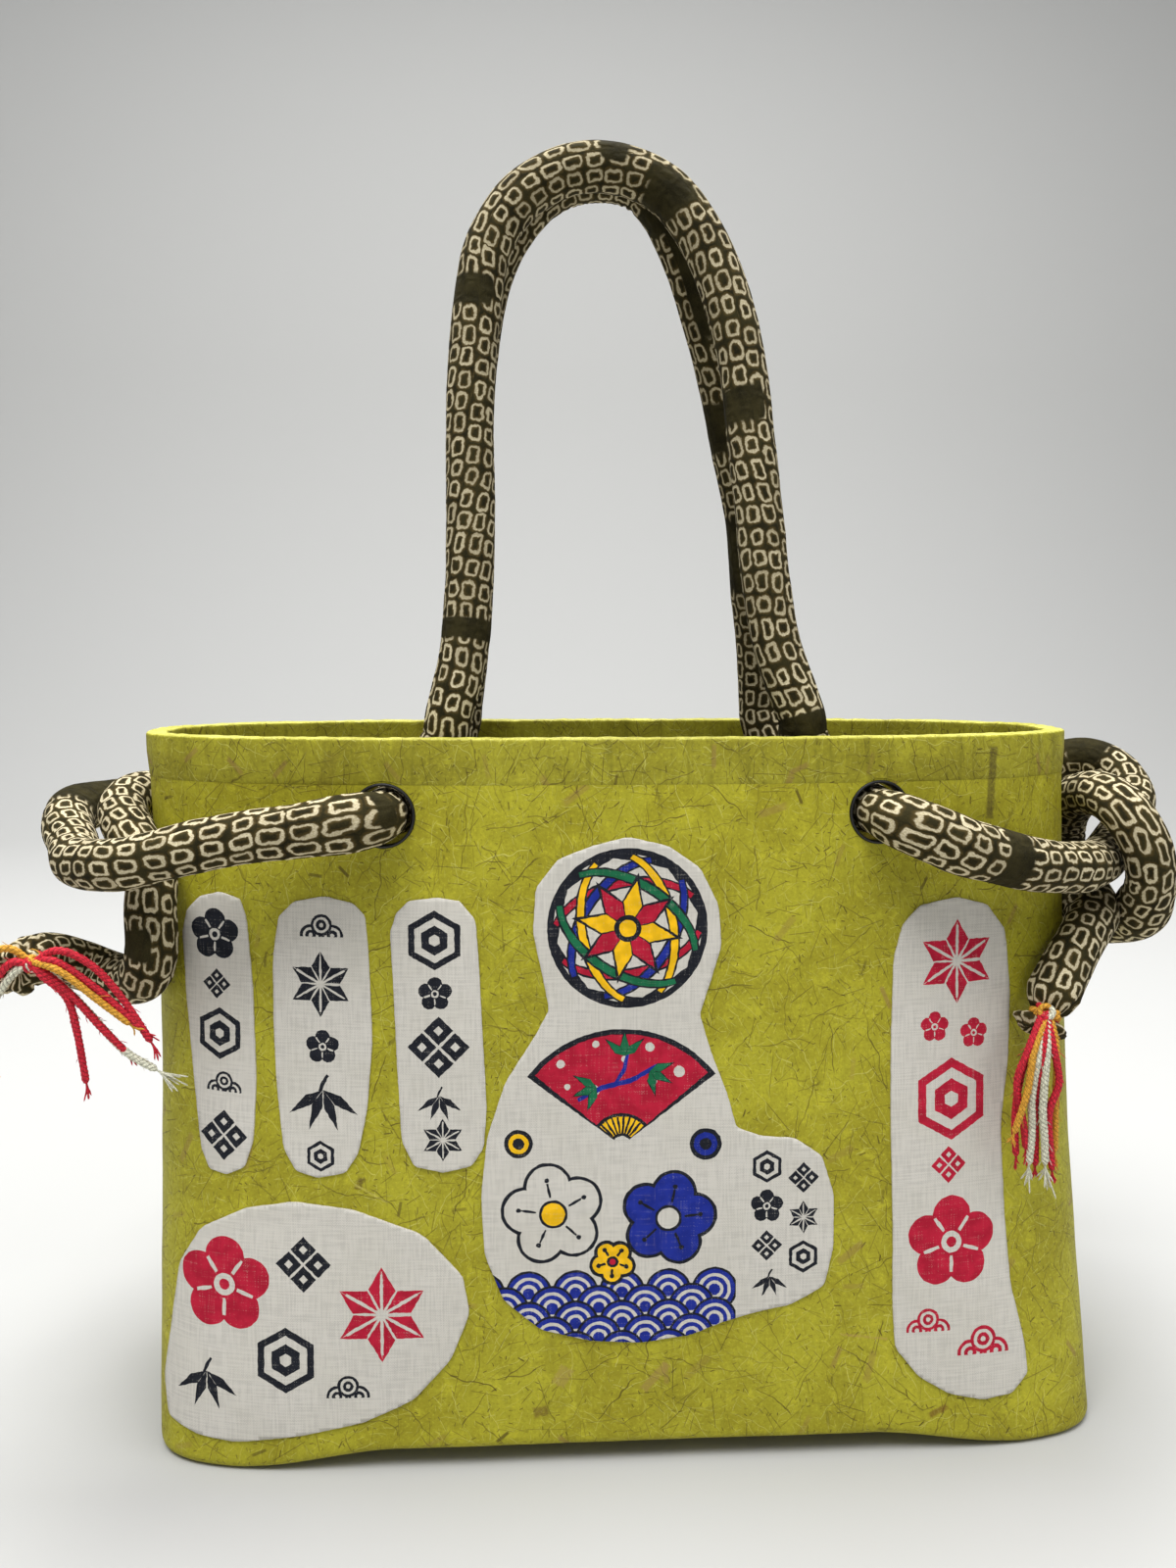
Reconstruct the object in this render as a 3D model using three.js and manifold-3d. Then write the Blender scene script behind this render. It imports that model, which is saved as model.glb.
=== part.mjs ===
// Lacquered paper basket bag: an oval basket covered in fibre paper, cloth patches on its front,
// and two stuffed cloth rope handles that pass out through holes and are knotted at each side.
// Millimetres, +Z up, +X to the right seen from the front, -Y is the front with the patches.
// The origin is on the floor, under the middle of the basket.
import * as THREE from 'three';
import { mergeVertices } from 'three/addons/utils/BufferGeometryUtils.js';
import Module from 'manifold-3d';

const wasm = await Module();
wasm.setup();

// Basket body
const MOUTH_WIDTH = 320;      // outer width at the mouth
const MOUTH_DEPTH = 102;      // outer depth at the mouth
const BASE_WIDTH = 322;       // outer width at the foot
const BASE_DEPTH = 128;       // outer depth at the foot
const BODY_HEIGHT = 236;      // floor to the rounded top of the rim
const LEAN = 5;               // the hand-made body stands this far out of true, base to the right
const MOUTH_EXPONENT = 2.7;   // superellipse exponent at the mouth, an oval
const BASE_EXPONENT = 7;      // superellipse exponent at the foot, nearly a rectangle
const FOOT_ARCH = 6;          // rise of the bottom edge between the four corner feet
const FOOT_BEVEL = 3;         // rounding of the bottom edge
const CORE_WALL = 3.2;        // woven paper-band core
const PAPER = 0.6;            // fibre paper outside, plain paper inside
const FLOOR_THICK = 3.2;      // core under the base board
const BOARD_THICK = 2;        // loose stiffening board inside
const GAP = 0.3;              // glue line or running gap between two pieces

// Rim band folded over the wall's top
const BAND_DROP = 14.4;       // how far the band comes down outside and inside
const BAND_THICK = 0.8;
const BAND_CROWN = 2.7;       // how far the rounded top stands over the wall's edge

// Holes for the ropes, each with a dark lining ring
const HOLE_LEFT = 78;         // hole centres left and right of the origin
const HOLE_RIGHT = 81;
const HOLE_DROP = 24.3;        // hole centres under the rim's top
const HOLE_RADIUS = 10.6;
const RING_WALL = 1.0;        // wall of the lining ring
const RING_LIP = 0.9;         // width and thickness of its outer lip

// Stuffed cloth rope handles
const ROPE_RADIUS = 7.9;      // in the handle arches
const RUN_RADIUS = 9.1;       // on the outside of the wall, where the stuffing bulges
const KNOT_RADIUS = 8.1;      // drawn tighter in the knots
const THROAT_RADIUS = 7.2;    // squeezed in the holes
const SLIM_FROM = 125;        // how far out sideways a run begins to narrow
const SLIM_EARLY = 88;        // the same for the front left run, which is drawn tight
const SLIM_OVER = 25;         // and over how much it narrows
const INSIDE_LENGTH = 22;     // rope from the hinge to the hole
const NECK_RADIUS = 4.6;      // gathered under the tassel's tie
const RUFFLE_RADIUS = 8;      // cloth frill past the tie
const RUFFLE_LENGTH = 6;      // from the tie to the frill's end
const GATHER = 9;             // length over which the rope narrows to its neck
const LEG_X = 57.5;           // where the handle legs stand over the rim
const LEG_Y = 34.5;
const HINGE_OVER_RIM = 7;     // the arches bend just over the rim
const HANDLE_RISE = 180.5;    // hinge line to the middle of the rope at the top
const TOP_Y = 8.2;            // the two arches lean together and touch here

// Yarn tassels
const YARN_RADIUS = 1;
const TIE_RADIUS = 1.1;       // half the thickness of the wound tie
const BEAD_RADIUS = 2.6;      // knot from which the yarns hang

// Cloth patches
const CLOTH = 0.5;

const V = (x, y, z) => new THREE.Vector3(x, y, z);
const N = 56;                 // points round each ring of the body
const HOLE_SIDES = 16;
const hingeZ = BODY_HEIGHT + HINGE_OVER_RIM;
const wallTop = BODY_HEIGHT - BAND_CROWN - GAP;
const bandBottom = BODY_HEIGHT - BAND_DROP;
const holeZ = BODY_HEIGHT - HOLE_DROP;

// Outline of the body at a share t of its height, 0 at the foot and 1 at the mouth.
function outline(t) {
  return {
    a: (BASE_WIDTH + (MOUTH_WIDTH - BASE_WIDTH) * t) / 2,
    b: (BASE_DEPTH + (MOUTH_DEPTH - BASE_DEPTH) * t) / 2,
    n: MOUTH_EXPONENT + (BASE_EXPONENT - MOUTH_EXPONENT) * Math.max(0, 1 - t) ** 3,
    shift: LEAN * (0.5 - t),
  };
}

// Ring of N points evenly spaced along the outline, each with its outward direction.
const ringCache = new Map();
function ring(t) {
  if (ringCache.has(t)) return ringCache.get(t);
  const { a, b, n, shift } = outline(t);
  const fine = [];
  const steps = 400;
  for (let i = 0; i <= steps; i++) {
    const w = (i / steps) * Math.PI / 2;
    fine.push([a * Math.cos(w) ** (2 / n), b * Math.sin(w) ** (2 / n)]);
  }
  const run = [0];
  for (let i = 1; i <= steps; i++) {
    run.push(run[i - 1] + Math.hypot(fine[i][0] - fine[i - 1][0], fine[i][1] - fine[i - 1][1]));
  }
  const quarter = [];
  const q = N / 4;
  for (let k = 0, j = 0; k <= q; k++) {
    const s = run[steps] * k / q;
    while (j < steps - 1 && run[j + 1] < s) j++;
    const f = (s - run[j]) / (run[j + 1] - run[j]);
    const [here, next] = [fine[j], fine[j + 1]];
    quarter.push([here[0] + (next[0] - here[0]) * f, here[1] + (next[1] - here[1]) * f]);
  }
  const out = [];
  const add = ([x, y], sx, sy) => {
    let nx = (x / a) ** (n - 1) / a, ny = (y / b) ** (n - 1) / b;
    const l = Math.hypot(nx, ny);
    out.push({ x: sx * x, y: sy * y, nx: sx * nx / l, ny: sy * ny / l, u: x / a, v: y / b, shift });
  };
  for (let k = 0; k < q; k++) add(quarter[k], 1, 1);
  for (let k = q; k > 0; k--) add(quarter[k], -1, 1);
  for (let k = 0; k < q; k++) add(quarter[k], -1, -1);
  for (let k = q; k > 0; k--) add(quarter[k], 1, -1);
  ringCache.set(t, out);
  return out;
}

// Rise of the bottom at a place given as shares of the half width and half depth.
const ease = (x) => { const c = Math.min(1, Math.max(0, x)); return c * c * (3 - 2 * c); };
const rise = (u, v) => FOOT_ARCH * Math.max(ease((0.82 - u) / 0.34), ease((0.72 - v) / 0.5));

// Ring of points at height share t, moved outward by off; lift is the bottom's own rise.
function level(t, off, fixedZ) {
  return ring(t).map((p) => {
    const z0 = rise(p.u, p.v);
    const z = fixedZ === undefined ? z0 + (BODY_HEIGHT - z0) * t : fixedZ;
    return V(p.x + p.shift + p.nx * off, p.y + p.ny * off, z);
  });
}
const shrink = (pts, s, zOf) => {
  const c = pts.reduce((m, p) => m.add(p), V(0, 0, 0)).divideScalar(pts.length);
  return pts.map((p, i) => V(c.x + (p.x - c.x) * s, c.y + (p.y - c.y) * s, zOf(i, s)));
};

// Closed surface through a stack of equal rings. Ends are closed with a middle point each, or
// the stack runs round into its own start.
function skin(rings, mode = 'caps') {
  const m = rings[0].length;
  const pos = [];
  const idx = [];
  for (const r of rings) for (const p of r) pos.push(p.x, p.y, p.z);
  // Both faces of a wall are split along the same diagonal, so that they stay parallel.
  const quad = (a, b, c, d, down) => (down ? idx.push(a, b, d, b, c, d) : idx.push(a, b, c, a, c, d));
  const rows = mode === 'loop' ? rings.length : rings.length - 1;
  for (let j = 0; j < rows; j++) {
    const k = (j + 1) % rings.length;
    for (let i = 0; i < m; i++) {
      const h = (i + 1) % m;
      quad(j * m + i, j * m + h, k * m + h, k * m + i, rings[k][i].z < rings[j][i].z);
    }
  }
  if (mode === 'caps') {
    for (const [r, flip] of [[0, true], [rings.length - 1, false]]) {
      const c = rings[r].reduce((s, p) => s.add(p), V(0, 0, 0)).divideScalar(m);
      const ci = pos.length / 3;
      pos.push(c.x, c.y, c.z);
      for (let i = 0; i < m; i++) {
        const h = (i + 1) % m;
        if (flip) idx.push(ci, r * m + h, r * m + i); else idx.push(ci, r * m + i, r * m + h);
      }
    }
  }
  const g = new THREE.BufferGeometry();
  g.setAttribute('position', new THREE.Float32BufferAttribute(pos, 3));
  g.setIndex(idx);
  return outward(g);
}

// Turns every face over if the closed surface has its faces pointing in.
function outward(g) {
  const p = g.attributes.position, ix = g.index.array;
  let vol = 0;
  const a = V(0, 0, 0), b = V(0, 0, 0), c = V(0, 0, 0);
  for (let i = 0; i < ix.length; i += 3) {
    a.fromBufferAttribute(p, ix[i]); b.fromBufferAttribute(p, ix[i + 1]); c.fromBufferAttribute(p, ix[i + 2]);
    vol += a.dot(b.clone().cross(c));
  }
  if (vol < 0) for (let i = 0; i < ix.length; i += 3) [ix[i + 1], ix[i + 2]] = [ix[i + 2], ix[i + 1]];
  return g;
}

function solid(geometry) {
  let g = geometry.clone();
  g.deleteAttribute('normal');
  g.deleteAttribute('uv');
  g = mergeVertices(g, 1e-4);
  return new wasm.Manifold(new wasm.Mesh({
    numProp: 3,
    vertProperties: new Float32Array(g.attributes.position.array),
    triVerts: new Uint32Array(g.index.array),
  }));
}
function geometryOf(man) {
  const m = man.getMesh();
  const g = new THREE.BufferGeometry();
  const pos = new Float32Array(m.numVert * 3);
  for (let i = 0; i < m.numVert; i++) {
    for (let k = 0; k < 3; k++) pos[i * 3 + k] = m.vertProperties[i * m.numProp + k];
  }
  g.setAttribute('position', new THREE.BufferAttribute(pos, 3));
  g.setIndex(new THREE.BufferAttribute(new Uint32Array(m.triVerts), 1));
  return g;
}

// Outer face of the wall under a place in the front or rear view, and its direction there.
function wallAt(x, z, face) {
  const yAt = (px, pz) => {
    const { a, b, n, shift } = outline(pz / BODY_HEIGHT);
    return face * b * (1 - Math.min(1, Math.abs((px - shift) / a)) ** n) ** (1 / n);
  };
  const y = yAt(x, z);
  const dx = (yAt(x + 0.5, z) - yAt(x - 0.5, z)), dz = (yAt(x, z + 0.5) - yAt(x, z - 0.5));
  return { point: V(x, y, z), normal: V(-face * dx, face, -face * dz).normalize() };
}
const holes = [
  { name: 'front_left', side: -1, face: -1 }, { name: 'front_right', side: 1, face: -1 },
  { name: 'rear_left', side: -1, face: 1 }, { name: 'rear_right', side: 1, face: 1 },
].map((h) => {
  const x = h.side * (h.side < 0 ? HOLE_LEFT : HOLE_RIGHT);
  return { ...h, x, ...wallAt(x, holeZ, h.face) };
});
const along = (geometry, place) => {
  geometry.applyQuaternion(new THREE.Quaternion().setFromUnitVectors(V(0, 1, 0), place.normal));
  geometry.translate(place.point.x, place.point.y, place.point.z);
  return geometry;
};
function drilled(geometry, radius) {
  let body = solid(geometry);
  for (const h of holes) {
    const drill = along(new THREE.CylinderGeometry(radius, radius, 40, HOLE_SIDES), h);
    body = body.subtract(solid(drill));
  }
  return geometryOf(body);
}

// Levels shared by every layer of the wall, so that the layers stay parallel.
const LEVELS = [0.045, 0.18, 0.42, 0.68, 0.9];
const topShare = wallTop / BODY_HEIGHT;
const paperIn = -PAPER;
const coreOut = paperIn - GAP;
const coreIn = coreOut - CORE_WALL;
const liningOut = coreIn - GAP;
const liningIn = liningOut - PAPER;
const floorZ = FOOT_ARCH + FLOOR_THICK;
const boardZ = floorZ + GAP;

// Woven core: a bucket standing on its four corners.
const footRing = level(0, coreOut - FOOT_BEVEL);
const footRise = (i, s) => { const p = ring(0)[i]; return rise(p.u * s, p.v * s); };
const coreGeometry = skin([
  shrink(footRing, 0.4, footRise), shrink(footRing, 0.88, footRise),
  footRing, level(0.015, coreOut),
  ...LEVELS.map((t) => level(t, coreOut)), level(topShare, coreOut, wallTop),
  level(topShare, coreIn, wallTop), ...[...LEVELS].reverse().slice(0, 4).map((t) => level(t, coreIn)),
  level(LEVELS[0], coreIn, floorZ),
  shrink(level(LEVELS[0], coreIn, floorZ), 0.5, () => floorZ),
]);

// Fibre paper outside, from just over the floor to the wall's top.
const paperFoot = 0.012;
const paperGeometry = skin([
  level(paperFoot, 0), ...LEVELS.map((t) => level(t, 0)), level(topShare, 0, wallTop),
  level(topShare, paperIn, wallTop), ...[...LEVELS].reverse().map((t) => level(t, paperIn)),
  level(paperFoot, paperIn),
], 'loop');

// Paper lining inside the wall.
const liningGeometry = skin([
  level(LEVELS[0], liningOut, boardZ), ...LEVELS.slice(1).map((t) => level(t, liningOut)),
  level(topShare, liningOut, wallTop),
  level(topShare, liningIn, wallTop), ...[...LEVELS].reverse().slice(0, 4).map((t) => level(t, liningIn)),
  level(LEVELS[0], liningIn, boardZ),
], 'loop');

// Stiffening board on the core's floor.
const boardRing = (z) => level(LEVELS[0], liningIn - 2 * GAP, z);
const boardGeometry = skin([boardRing(boardZ), boardRing(boardZ + BOARD_THICK)]);

// Band of the same paper folded over the rim.
const bandOut = GAP + BAND_THICK, bandIn = liningIn - GAP - BAND_THICK;
const bandTop = wallTop + GAP;
const bandLevel = (off, z) => level(Math.min(1, z / BODY_HEIGHT), off, z);
const bandShoulder = BODY_HEIGHT - BAND_CROWN;
const bandGeometry = skin([
  bandLevel(bandOut, bandBottom), bandLevel(bandOut, bandShoulder), bandLevel(bandOut - 1, BODY_HEIGHT - 0.8),
  bandLevel(bandOut - BAND_CROWN, BODY_HEIGHT), bandLevel(bandIn + BAND_CROWN, BODY_HEIGHT),
  bandLevel(bandIn + 1, BODY_HEIGHT - 0.8),
  bandLevel(bandIn, bandShoulder), bandLevel(bandIn, bandBottom), bandLevel(liningIn - GAP, bandBottom),
  bandLevel(liningIn - GAP, bandTop), bandLevel(GAP, bandTop), bandLevel(GAP, bandBottom),
], 'loop');

// Dark lining ring of one hole, turned about the hole's own axis.
const ringOuter = HOLE_RADIUS - GAP, ringInner = ringOuter - RING_WALL;
const ringLip = HOLE_RADIUS + RING_LIP;
const wallThick = -liningIn;
function holeRing(h) {
  const lip = GAP + 0.5;
  const back = -(wallThick + 0.6);
  const profile = [[ringInner, back], [ringOuter, back], [ringOuter, lip], [ringLip, lip],
    [ringLip, lip + RING_LIP],
    [ringInner, lip + RING_LIP], [ringInner, back]].map(([r, y]) => new THREE.Vector2(r, y));
  return along(outward(mergeVertices(stripped(new THREE.LatheGeometry(profile, HOLE_SIDES)), 1e-4)), h);
}
function stripped(g) { g.deleteAttribute('normal'); g.deleteAttribute('uv'); return g; }

// Tube of changing radius along a smooth line, with flat or ball-shaped ends.
function tube(points, radiusAt, { sides = 9, step = 6.5, ball = 0, extra = [], trim = 0 } = {}) {
  const curve = new THREE.CatmullRomCurve3(points, false, 'catmullrom', 0.5);
  curve.arcLengthDivisions = 1500;
  const length = curve.getLength();
  const run = length - trim;
  const places = [];
  for (let i = 0, count = Math.ceil(run / step); i <= count; i++) places.push(run * i / count);
  places.push(...extra.map((e) => length - e));
  const stations = places.map((s) => {
    const share = Math.min(1, s / length);
    return { p: curve.getPointAt(share), d: curve.getTangentAt(share), r: radiusAt(s, length) };
  });
  if (ball) {
    for (const [k, dir] of [[0, -1], [stations.length - 1, 1]]) {
      const { p, d } = stations[k];
      const dome = [0.5, 0.87].map((q) => ({
        p: p.clone().addScaledVector(d, dir * ball * q), d, r: ball * Math.sqrt(1 - q * q),
      }));
      if (dir < 0) stations.unshift(...dome.reverse()); else stations.push(...dome);
    }
  }
  const side = Math.abs(stations[0].d.z) > 0.8 ? V(1, 0, 0) : V(0, 0, 1);
  const rings = stations.map(({ p, d, r }) => {
    side.addScaledVector(d, -side.dot(d)).normalize();
    const up = d.clone().cross(side);
    return [...Array(sides)].map((_, k) => {
      const w = 2 * Math.PI * k / sides;
      return p.clone().addScaledVector(side, r * Math.cos(w)).addScaledVector(up, r * Math.sin(w));
    });
  });
  return { geometry: skin(rings), curve, length };
}

// Handle arches as places across and up, laid by eye. The two differ a little.
const ARCHES = {
  front: [[-57.5, 243], [-53, 262], [-51, 285], [-50.5, 312], [-50.5, 340], [-49, 367], [-45, 392.5],
    [-36, 409.2], [-23, 419.1], [-9, 422.6], [5, 420.1], [17, 412.6], [27, 398.4], [34.5, 380],
    [39.5, 358], [42, 334], [44.5, 310], [46.5, 287], [50, 265], [57.5, 243]],
  rear: [[-57.5, 243], [-55, 262], [-54, 285], [-53, 312], [-52, 340], [-50, 367], [-45, 392],
    [-35, 410.5], [-22, 421.5], [-8, 425.2], [6, 423.2], [16.5, 415.2], [26, 401.5], [33.5, 383],
    [40.5, 361], [45.5, 336], [49.5, 312], [52.5, 287], [55.5, 265], [57.5, 243]],
};
// Rope ends from under the arch, out through the hole, along the wall and through the side knot,
// laid by eye with the ropes just clear of each other and of the wall.
const TAILS = {
  front_left: [[-58.8, -34.2, 234.4], [-64, -33, 221.5], [-70.5, -34.5, 214.8], [-76.6, -40.5, 212.3],
    [-78, -47.5, 211.9], [-79.6, -54.5, 211.7], [-85.5, -60.3, 211.2], [-94, -62.3, 210.2],
    [-104, -62, 208.8], [-115.5, -61, 207.5], [-130, -61, 205], [-144, -60, 201.5], [-155.5, -57, 198.5],
    [-166, -50, 197], [-176, -40, 196.5], [-183, -25, 199.5], [-190, -11, 204], [-192.5, 5, 207],
    [-187, 22, 207.5], [-180, 35, 206], [-171, 46, 199], [-164, 52, 187], [-160, 54.5, 173],
    [-158, 56, 159]],
  rear_left: [[-58.8, 34.2, 234.4], [-64, 33, 221.5], [-70.5, 34.5, 214.8], [-76.6, 40.5, 212.3],
    [-78, 47.5, 211.9], [-79.6, 54.5, 211.7], [-85.5, 60.3, 211.2], [-94, 62.3, 210.6],
    [-104, 61.5, 210], [-115, 57.5, 209], [-130, 52.5, 208.5], [-146.5, 46, 209], [-160, 34.5, 210],
    [-169, 19, 211], [-171.5, 3, 211], [-170.6, -12.5, 208.5], [-162.7, -28, 202], [-154.5, -37, 192],
    [-153, -43, 181], [-152.5, -45, 170], [-156, -41, 160], [-163.5, -32, 155], [-173, -24.5, 154.5],
    [-182, -25.5, 158.5], [-188, -34.5, 163.5], [-190.5, -46, 165.5], [-191.5, -57, 165]],
  front_right: [[59.1, -34.2, 234.4], [65, -33, 221.5], [72.5, -34.5, 214.5], [79.4, -40.5, 212.2],
    [81, -47.5, 211.6], [82.7, -54.5, 211], [87.6, -60.8, 209], [96.5, -62.2, 205.5], [105, -61, 202],
    [115, -57, 199], [129, -52, 195], [142, -45.5, 192.5], [153.5, -37.5, 191], [163.5, -27.5, 190.5],
    [172.5, -16.5, 191.5], [182.5, -4.5, 195], [192, 7, 200.5], [199, 18, 208], [198, 28.5, 216],
    [189.5, 37, 220.5], [177, 44, 217], [168.5, 48.5, 208], [164, 51, 196], [163.8, 53, 185],
    [166, 54.5, 171], [168, 55, 159]],
  rear_right: [[59.1, 34.2, 234.4], [65, 33, 221.5], [72.5, 34.5, 214.5], [79.4, 40.5, 212.2],
    [81, 47.5, 211.5], [82.7, 54.5, 210.6], [87.5, 61.2, 207.5], [96, 63, 201.5], [105, 62.3, 195.3],
    [117, 59.5, 188], [131, 55.5, 180], [145, 47.5, 171], [157, 36, 164], [166, 23, 161], [173, 10, 161],
    [179.5, -2, 163.5], [183.6, -15, 168], [182.1, -27, 177], [179, -35.5, 187], [175, -38.5, 198],
    [171, -34, 207.5], [169, -23, 212.5], [169, -10, 212.5], [168.5, 2, 208], [168.5, 9, 199],
    [168.5, 8, 189], [168.8, 0, 181], [168, -11, 176], [165, -23, 171], [157, -34, 166.5],
    [149, -42.5, 161], [141, -48.5, 151], [134, -53, 139]],
};
// The body that the ropes were laid on. Ropes follow its corners, holes and top if it is resized.
const LAID = {
  half: 160, deep: 51, tall: 236, left: 78, right: 81, hole: 211.7, leg: 57.5, legY: 34.5, rise: 180.5,
};
const NECK_HALF = TIE_RADIUS + GAP;
const mix = (a, b, f) => a + (b - a) * Math.min(1, Math.max(0, f || 0));
function follow([x, y, z]) {
  const side = Math.sign(x), r = Math.abs(x);
  const holeX = side < 0 ? LAID.left : LAID.right;
  const atLeg = LEG_X - LAID.leg;
  const atHole = (side < 0 ? HOLE_LEFT : HOLE_RIGHT) - holeX;
  const atEnd = MOUTH_WIDTH / 2 - LAID.half;
  const dx = r < holeX
    ? mix(atLeg, atHole, (r - LAID.leg) / (holeX - LAID.leg))
    : mix(atHole, atEnd, (r - holeX) / (LAID.half - holeX));
  const dy = mix(LEG_Y - LAID.legY, MOUTH_DEPTH / 2 - LAID.deep, (r - LAID.leg) / (holeX - LAID.leg));
  const dz = mix(holeZ - LAID.hole, BODY_HEIGHT - LAID.tall, (z - 215) / 18);
  return V(x + side * dx, y + Math.sign(y) * dy, z + dz);
}
function archLine(name, face) {
  return ARCHES[name].map(([x, z]) => {
    const share = (z - LAID.tall - HINGE_OVER_RIM) / LAID.rise;
    const along = (Math.abs(x) * LEG_X) / LAID.leg;
    return V(Math.sign(x) * along, face * (LEG_Y + (TOP_Y - LEG_Y) * share), hingeZ + share * HANDLE_RISE);
  });
}
const ARCH_FORM = { sides: 9, step: 8, ball: ROPE_RADIUS };
const arch = (name, face) => tube(archLine(name, face), () => ROPE_RADIUS, ARCH_FORM);
function tail(name) {
  const side = TAILS[name][0][0] < 0 ? HOLE_LEFT : HOLE_RIGHT;
  const slimFrom = name === 'front_left' ? SLIM_EARLY : SLIM_FROM;
  const line = TAILS[name].map(follow);
  const probe = new THREE.CatmullRomCurve3(line, false, 'catmullrom', 0.5);
  probe.arcLengthDivisions = 1500;
  const radiusAt = (s, length) => {
    const past = length - s - RUFFLE_LENGTH;
    if (past < GATHER) {
      const drawn = (past - NECK_HALF) / (GATHER - NECK_HALF);
      if (drawn > 0) return mix(NECK_RADIUS, KNOT_RADIUS, drawn ** 0.7);
      return mix(NECK_RADIUS, RUFFLE_RADIUS, ((-NECK_HALF - past) / (RUFFLE_LENGTH - NECK_HALF)) ** 0.6);
    }
    const p = probe.getPointAt(Math.min(1, s / length));
    const offX = (Math.abs(p.x) - side) / 10, offY = (Math.abs(p.y) - MOUTH_DEPTH / 2 + 3) / 10;
    const inHole = Math.exp(-(offX ** 2)) * Math.exp(-(offY ** 2));
    const slim = (Math.abs(p.x) - slimFrom) / SLIM_OVER;
    const run = s < INSIDE_LENGTH ? ROPE_RADIUS : mix(RUN_RADIUS, KNOT_RADIUS, slim);
    return run + (THROAT_RADIUS - run) * inHole;
  };
  const end = RUFFLE_LENGTH + GATHER;
  const neck = [RUFFLE_LENGTH + 4, RUFFLE_LENGTH + NECK_HALF, RUFFLE_LENGTH - NECK_HALF,
    RUFFLE_LENGTH / 2, 1, 0];
  return tube(line, radiusAt, { sides: 8, step: 7, trim: end, extra: neck });
}

// Tassels. Each yarn hangs from a knot bead on one side of the tie, as places from the tie.
const HANGING = [
  [[-4, -11.6, -6], [-7.5, -11.5, -18], [-4.5, -10.5, -31], [-3, -10, -41]],
  [[-2.8, -12.4, -7], [-4.8, -13.4, -20], [-8.3, -12.6, -34.5]],
  [[-1, -11.8, -8], [-2.6, -11.8, -22], [-1.7, -11, -34], [-2, -10.6, -46]],
  [[0.3, -11.8, -8], [-0.2, -9.4, -25], [0.6, -8.8, -37], [1, -8.5, -47.5]],
  [[1.6, -11.9, -9], [1.2, -11.8, -26], [2.4, -11.4, -37], [3.2, -11, -46]],
  [[3.9, -11.2, -6], [6.4, -11.2, -18], [3.9, -10.6, -29], [6, -10, -48.5]],
  [[5.2, -10.6, -7], [6.8, -8.6, -26], [7.6, -8, -43]],
];
const DRAPED = [
  [[9, -9, 1.5], [0, -11.5, 0.5], [-9, -12, -6], [-14.5, -12, -17], [-16, -11.5, -29]],
  [[8.5, -9.5, -1], [1.5, -11.5, -3], [-6, -12, -12], [-8.5, -11.5, -30]],
  [[9, -9.5, -3], [4, -11, -12], [0.5, -11, -24]],
  [[14, -4, -5], [14.5, -4, -22], [17, -4, -41]],
  [[16, -3.5, -1], [25, -5, -12], [33, -6, -30]],
  [[17, -3, 2], [28, -5, -5], [39, -6, -25]],
];
const TASSELS = {
  rear_right: { out: [0.1, -1, 0.1], yarns: HANGING, flip: 1 },
  rear_left: { out: [0.75, -0.25, -0.1], yarns: DRAPED, flip: 1 },
  front_right: { out: [0.1, 1, 0.1], yarns: HANGING, flip: -1 },
  front_left: { out: [-0.1, 1, 0.1], yarns: HANGING, flip: -1 },
};
function tassel(name, rope) {
  const share = (rope.length - RUFFLE_LENGTH) / rope.length;
  const centre = rope.curve.getPointAt(share), d = rope.curve.getTangentAt(share);
  const tieRing = NECK_RADIUS + GAP + TIE_RADIUS;
  const tie = new THREE.TorusGeometry(tieRing, TIE_RADIUS, 6, 14);
  tie.applyQuaternion(new THREE.Quaternion().setFromUnitVectors(V(0, 0, 1), d));
  tie.translate(centre.x, centre.y, centre.z);
  const { out, yarns, flip } = TASSELS[name];
  const o = V(...out);
  o.addScaledVector(d, -o.dot(d)).normalize();
  const bead = centre.clone().addScaledVector(o, tieRing + TIE_RADIUS + GAP + BEAD_RADIUS);
  const ball = new THREE.SphereGeometry(BEAD_RADIUS, 8, 6);
  ball.translate(bead.x, bead.y, bead.z);
  let body = solid(ball);
  for (const yarn of yarns) {
    const pts = [bead, ...yarn.map(([x, y, z]) => V(centre.x + x, centre.y + flip * y, centre.z + z))];
    body = body.add(solid(tube(pts, () => YARN_RADIUS, { sides: 5, step: 9 }).geometry));
  }
  return { tie: outward(mergeVertices(stripped(tie), 1e-4)), tassel: geometryOf(body), bead };
}

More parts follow.
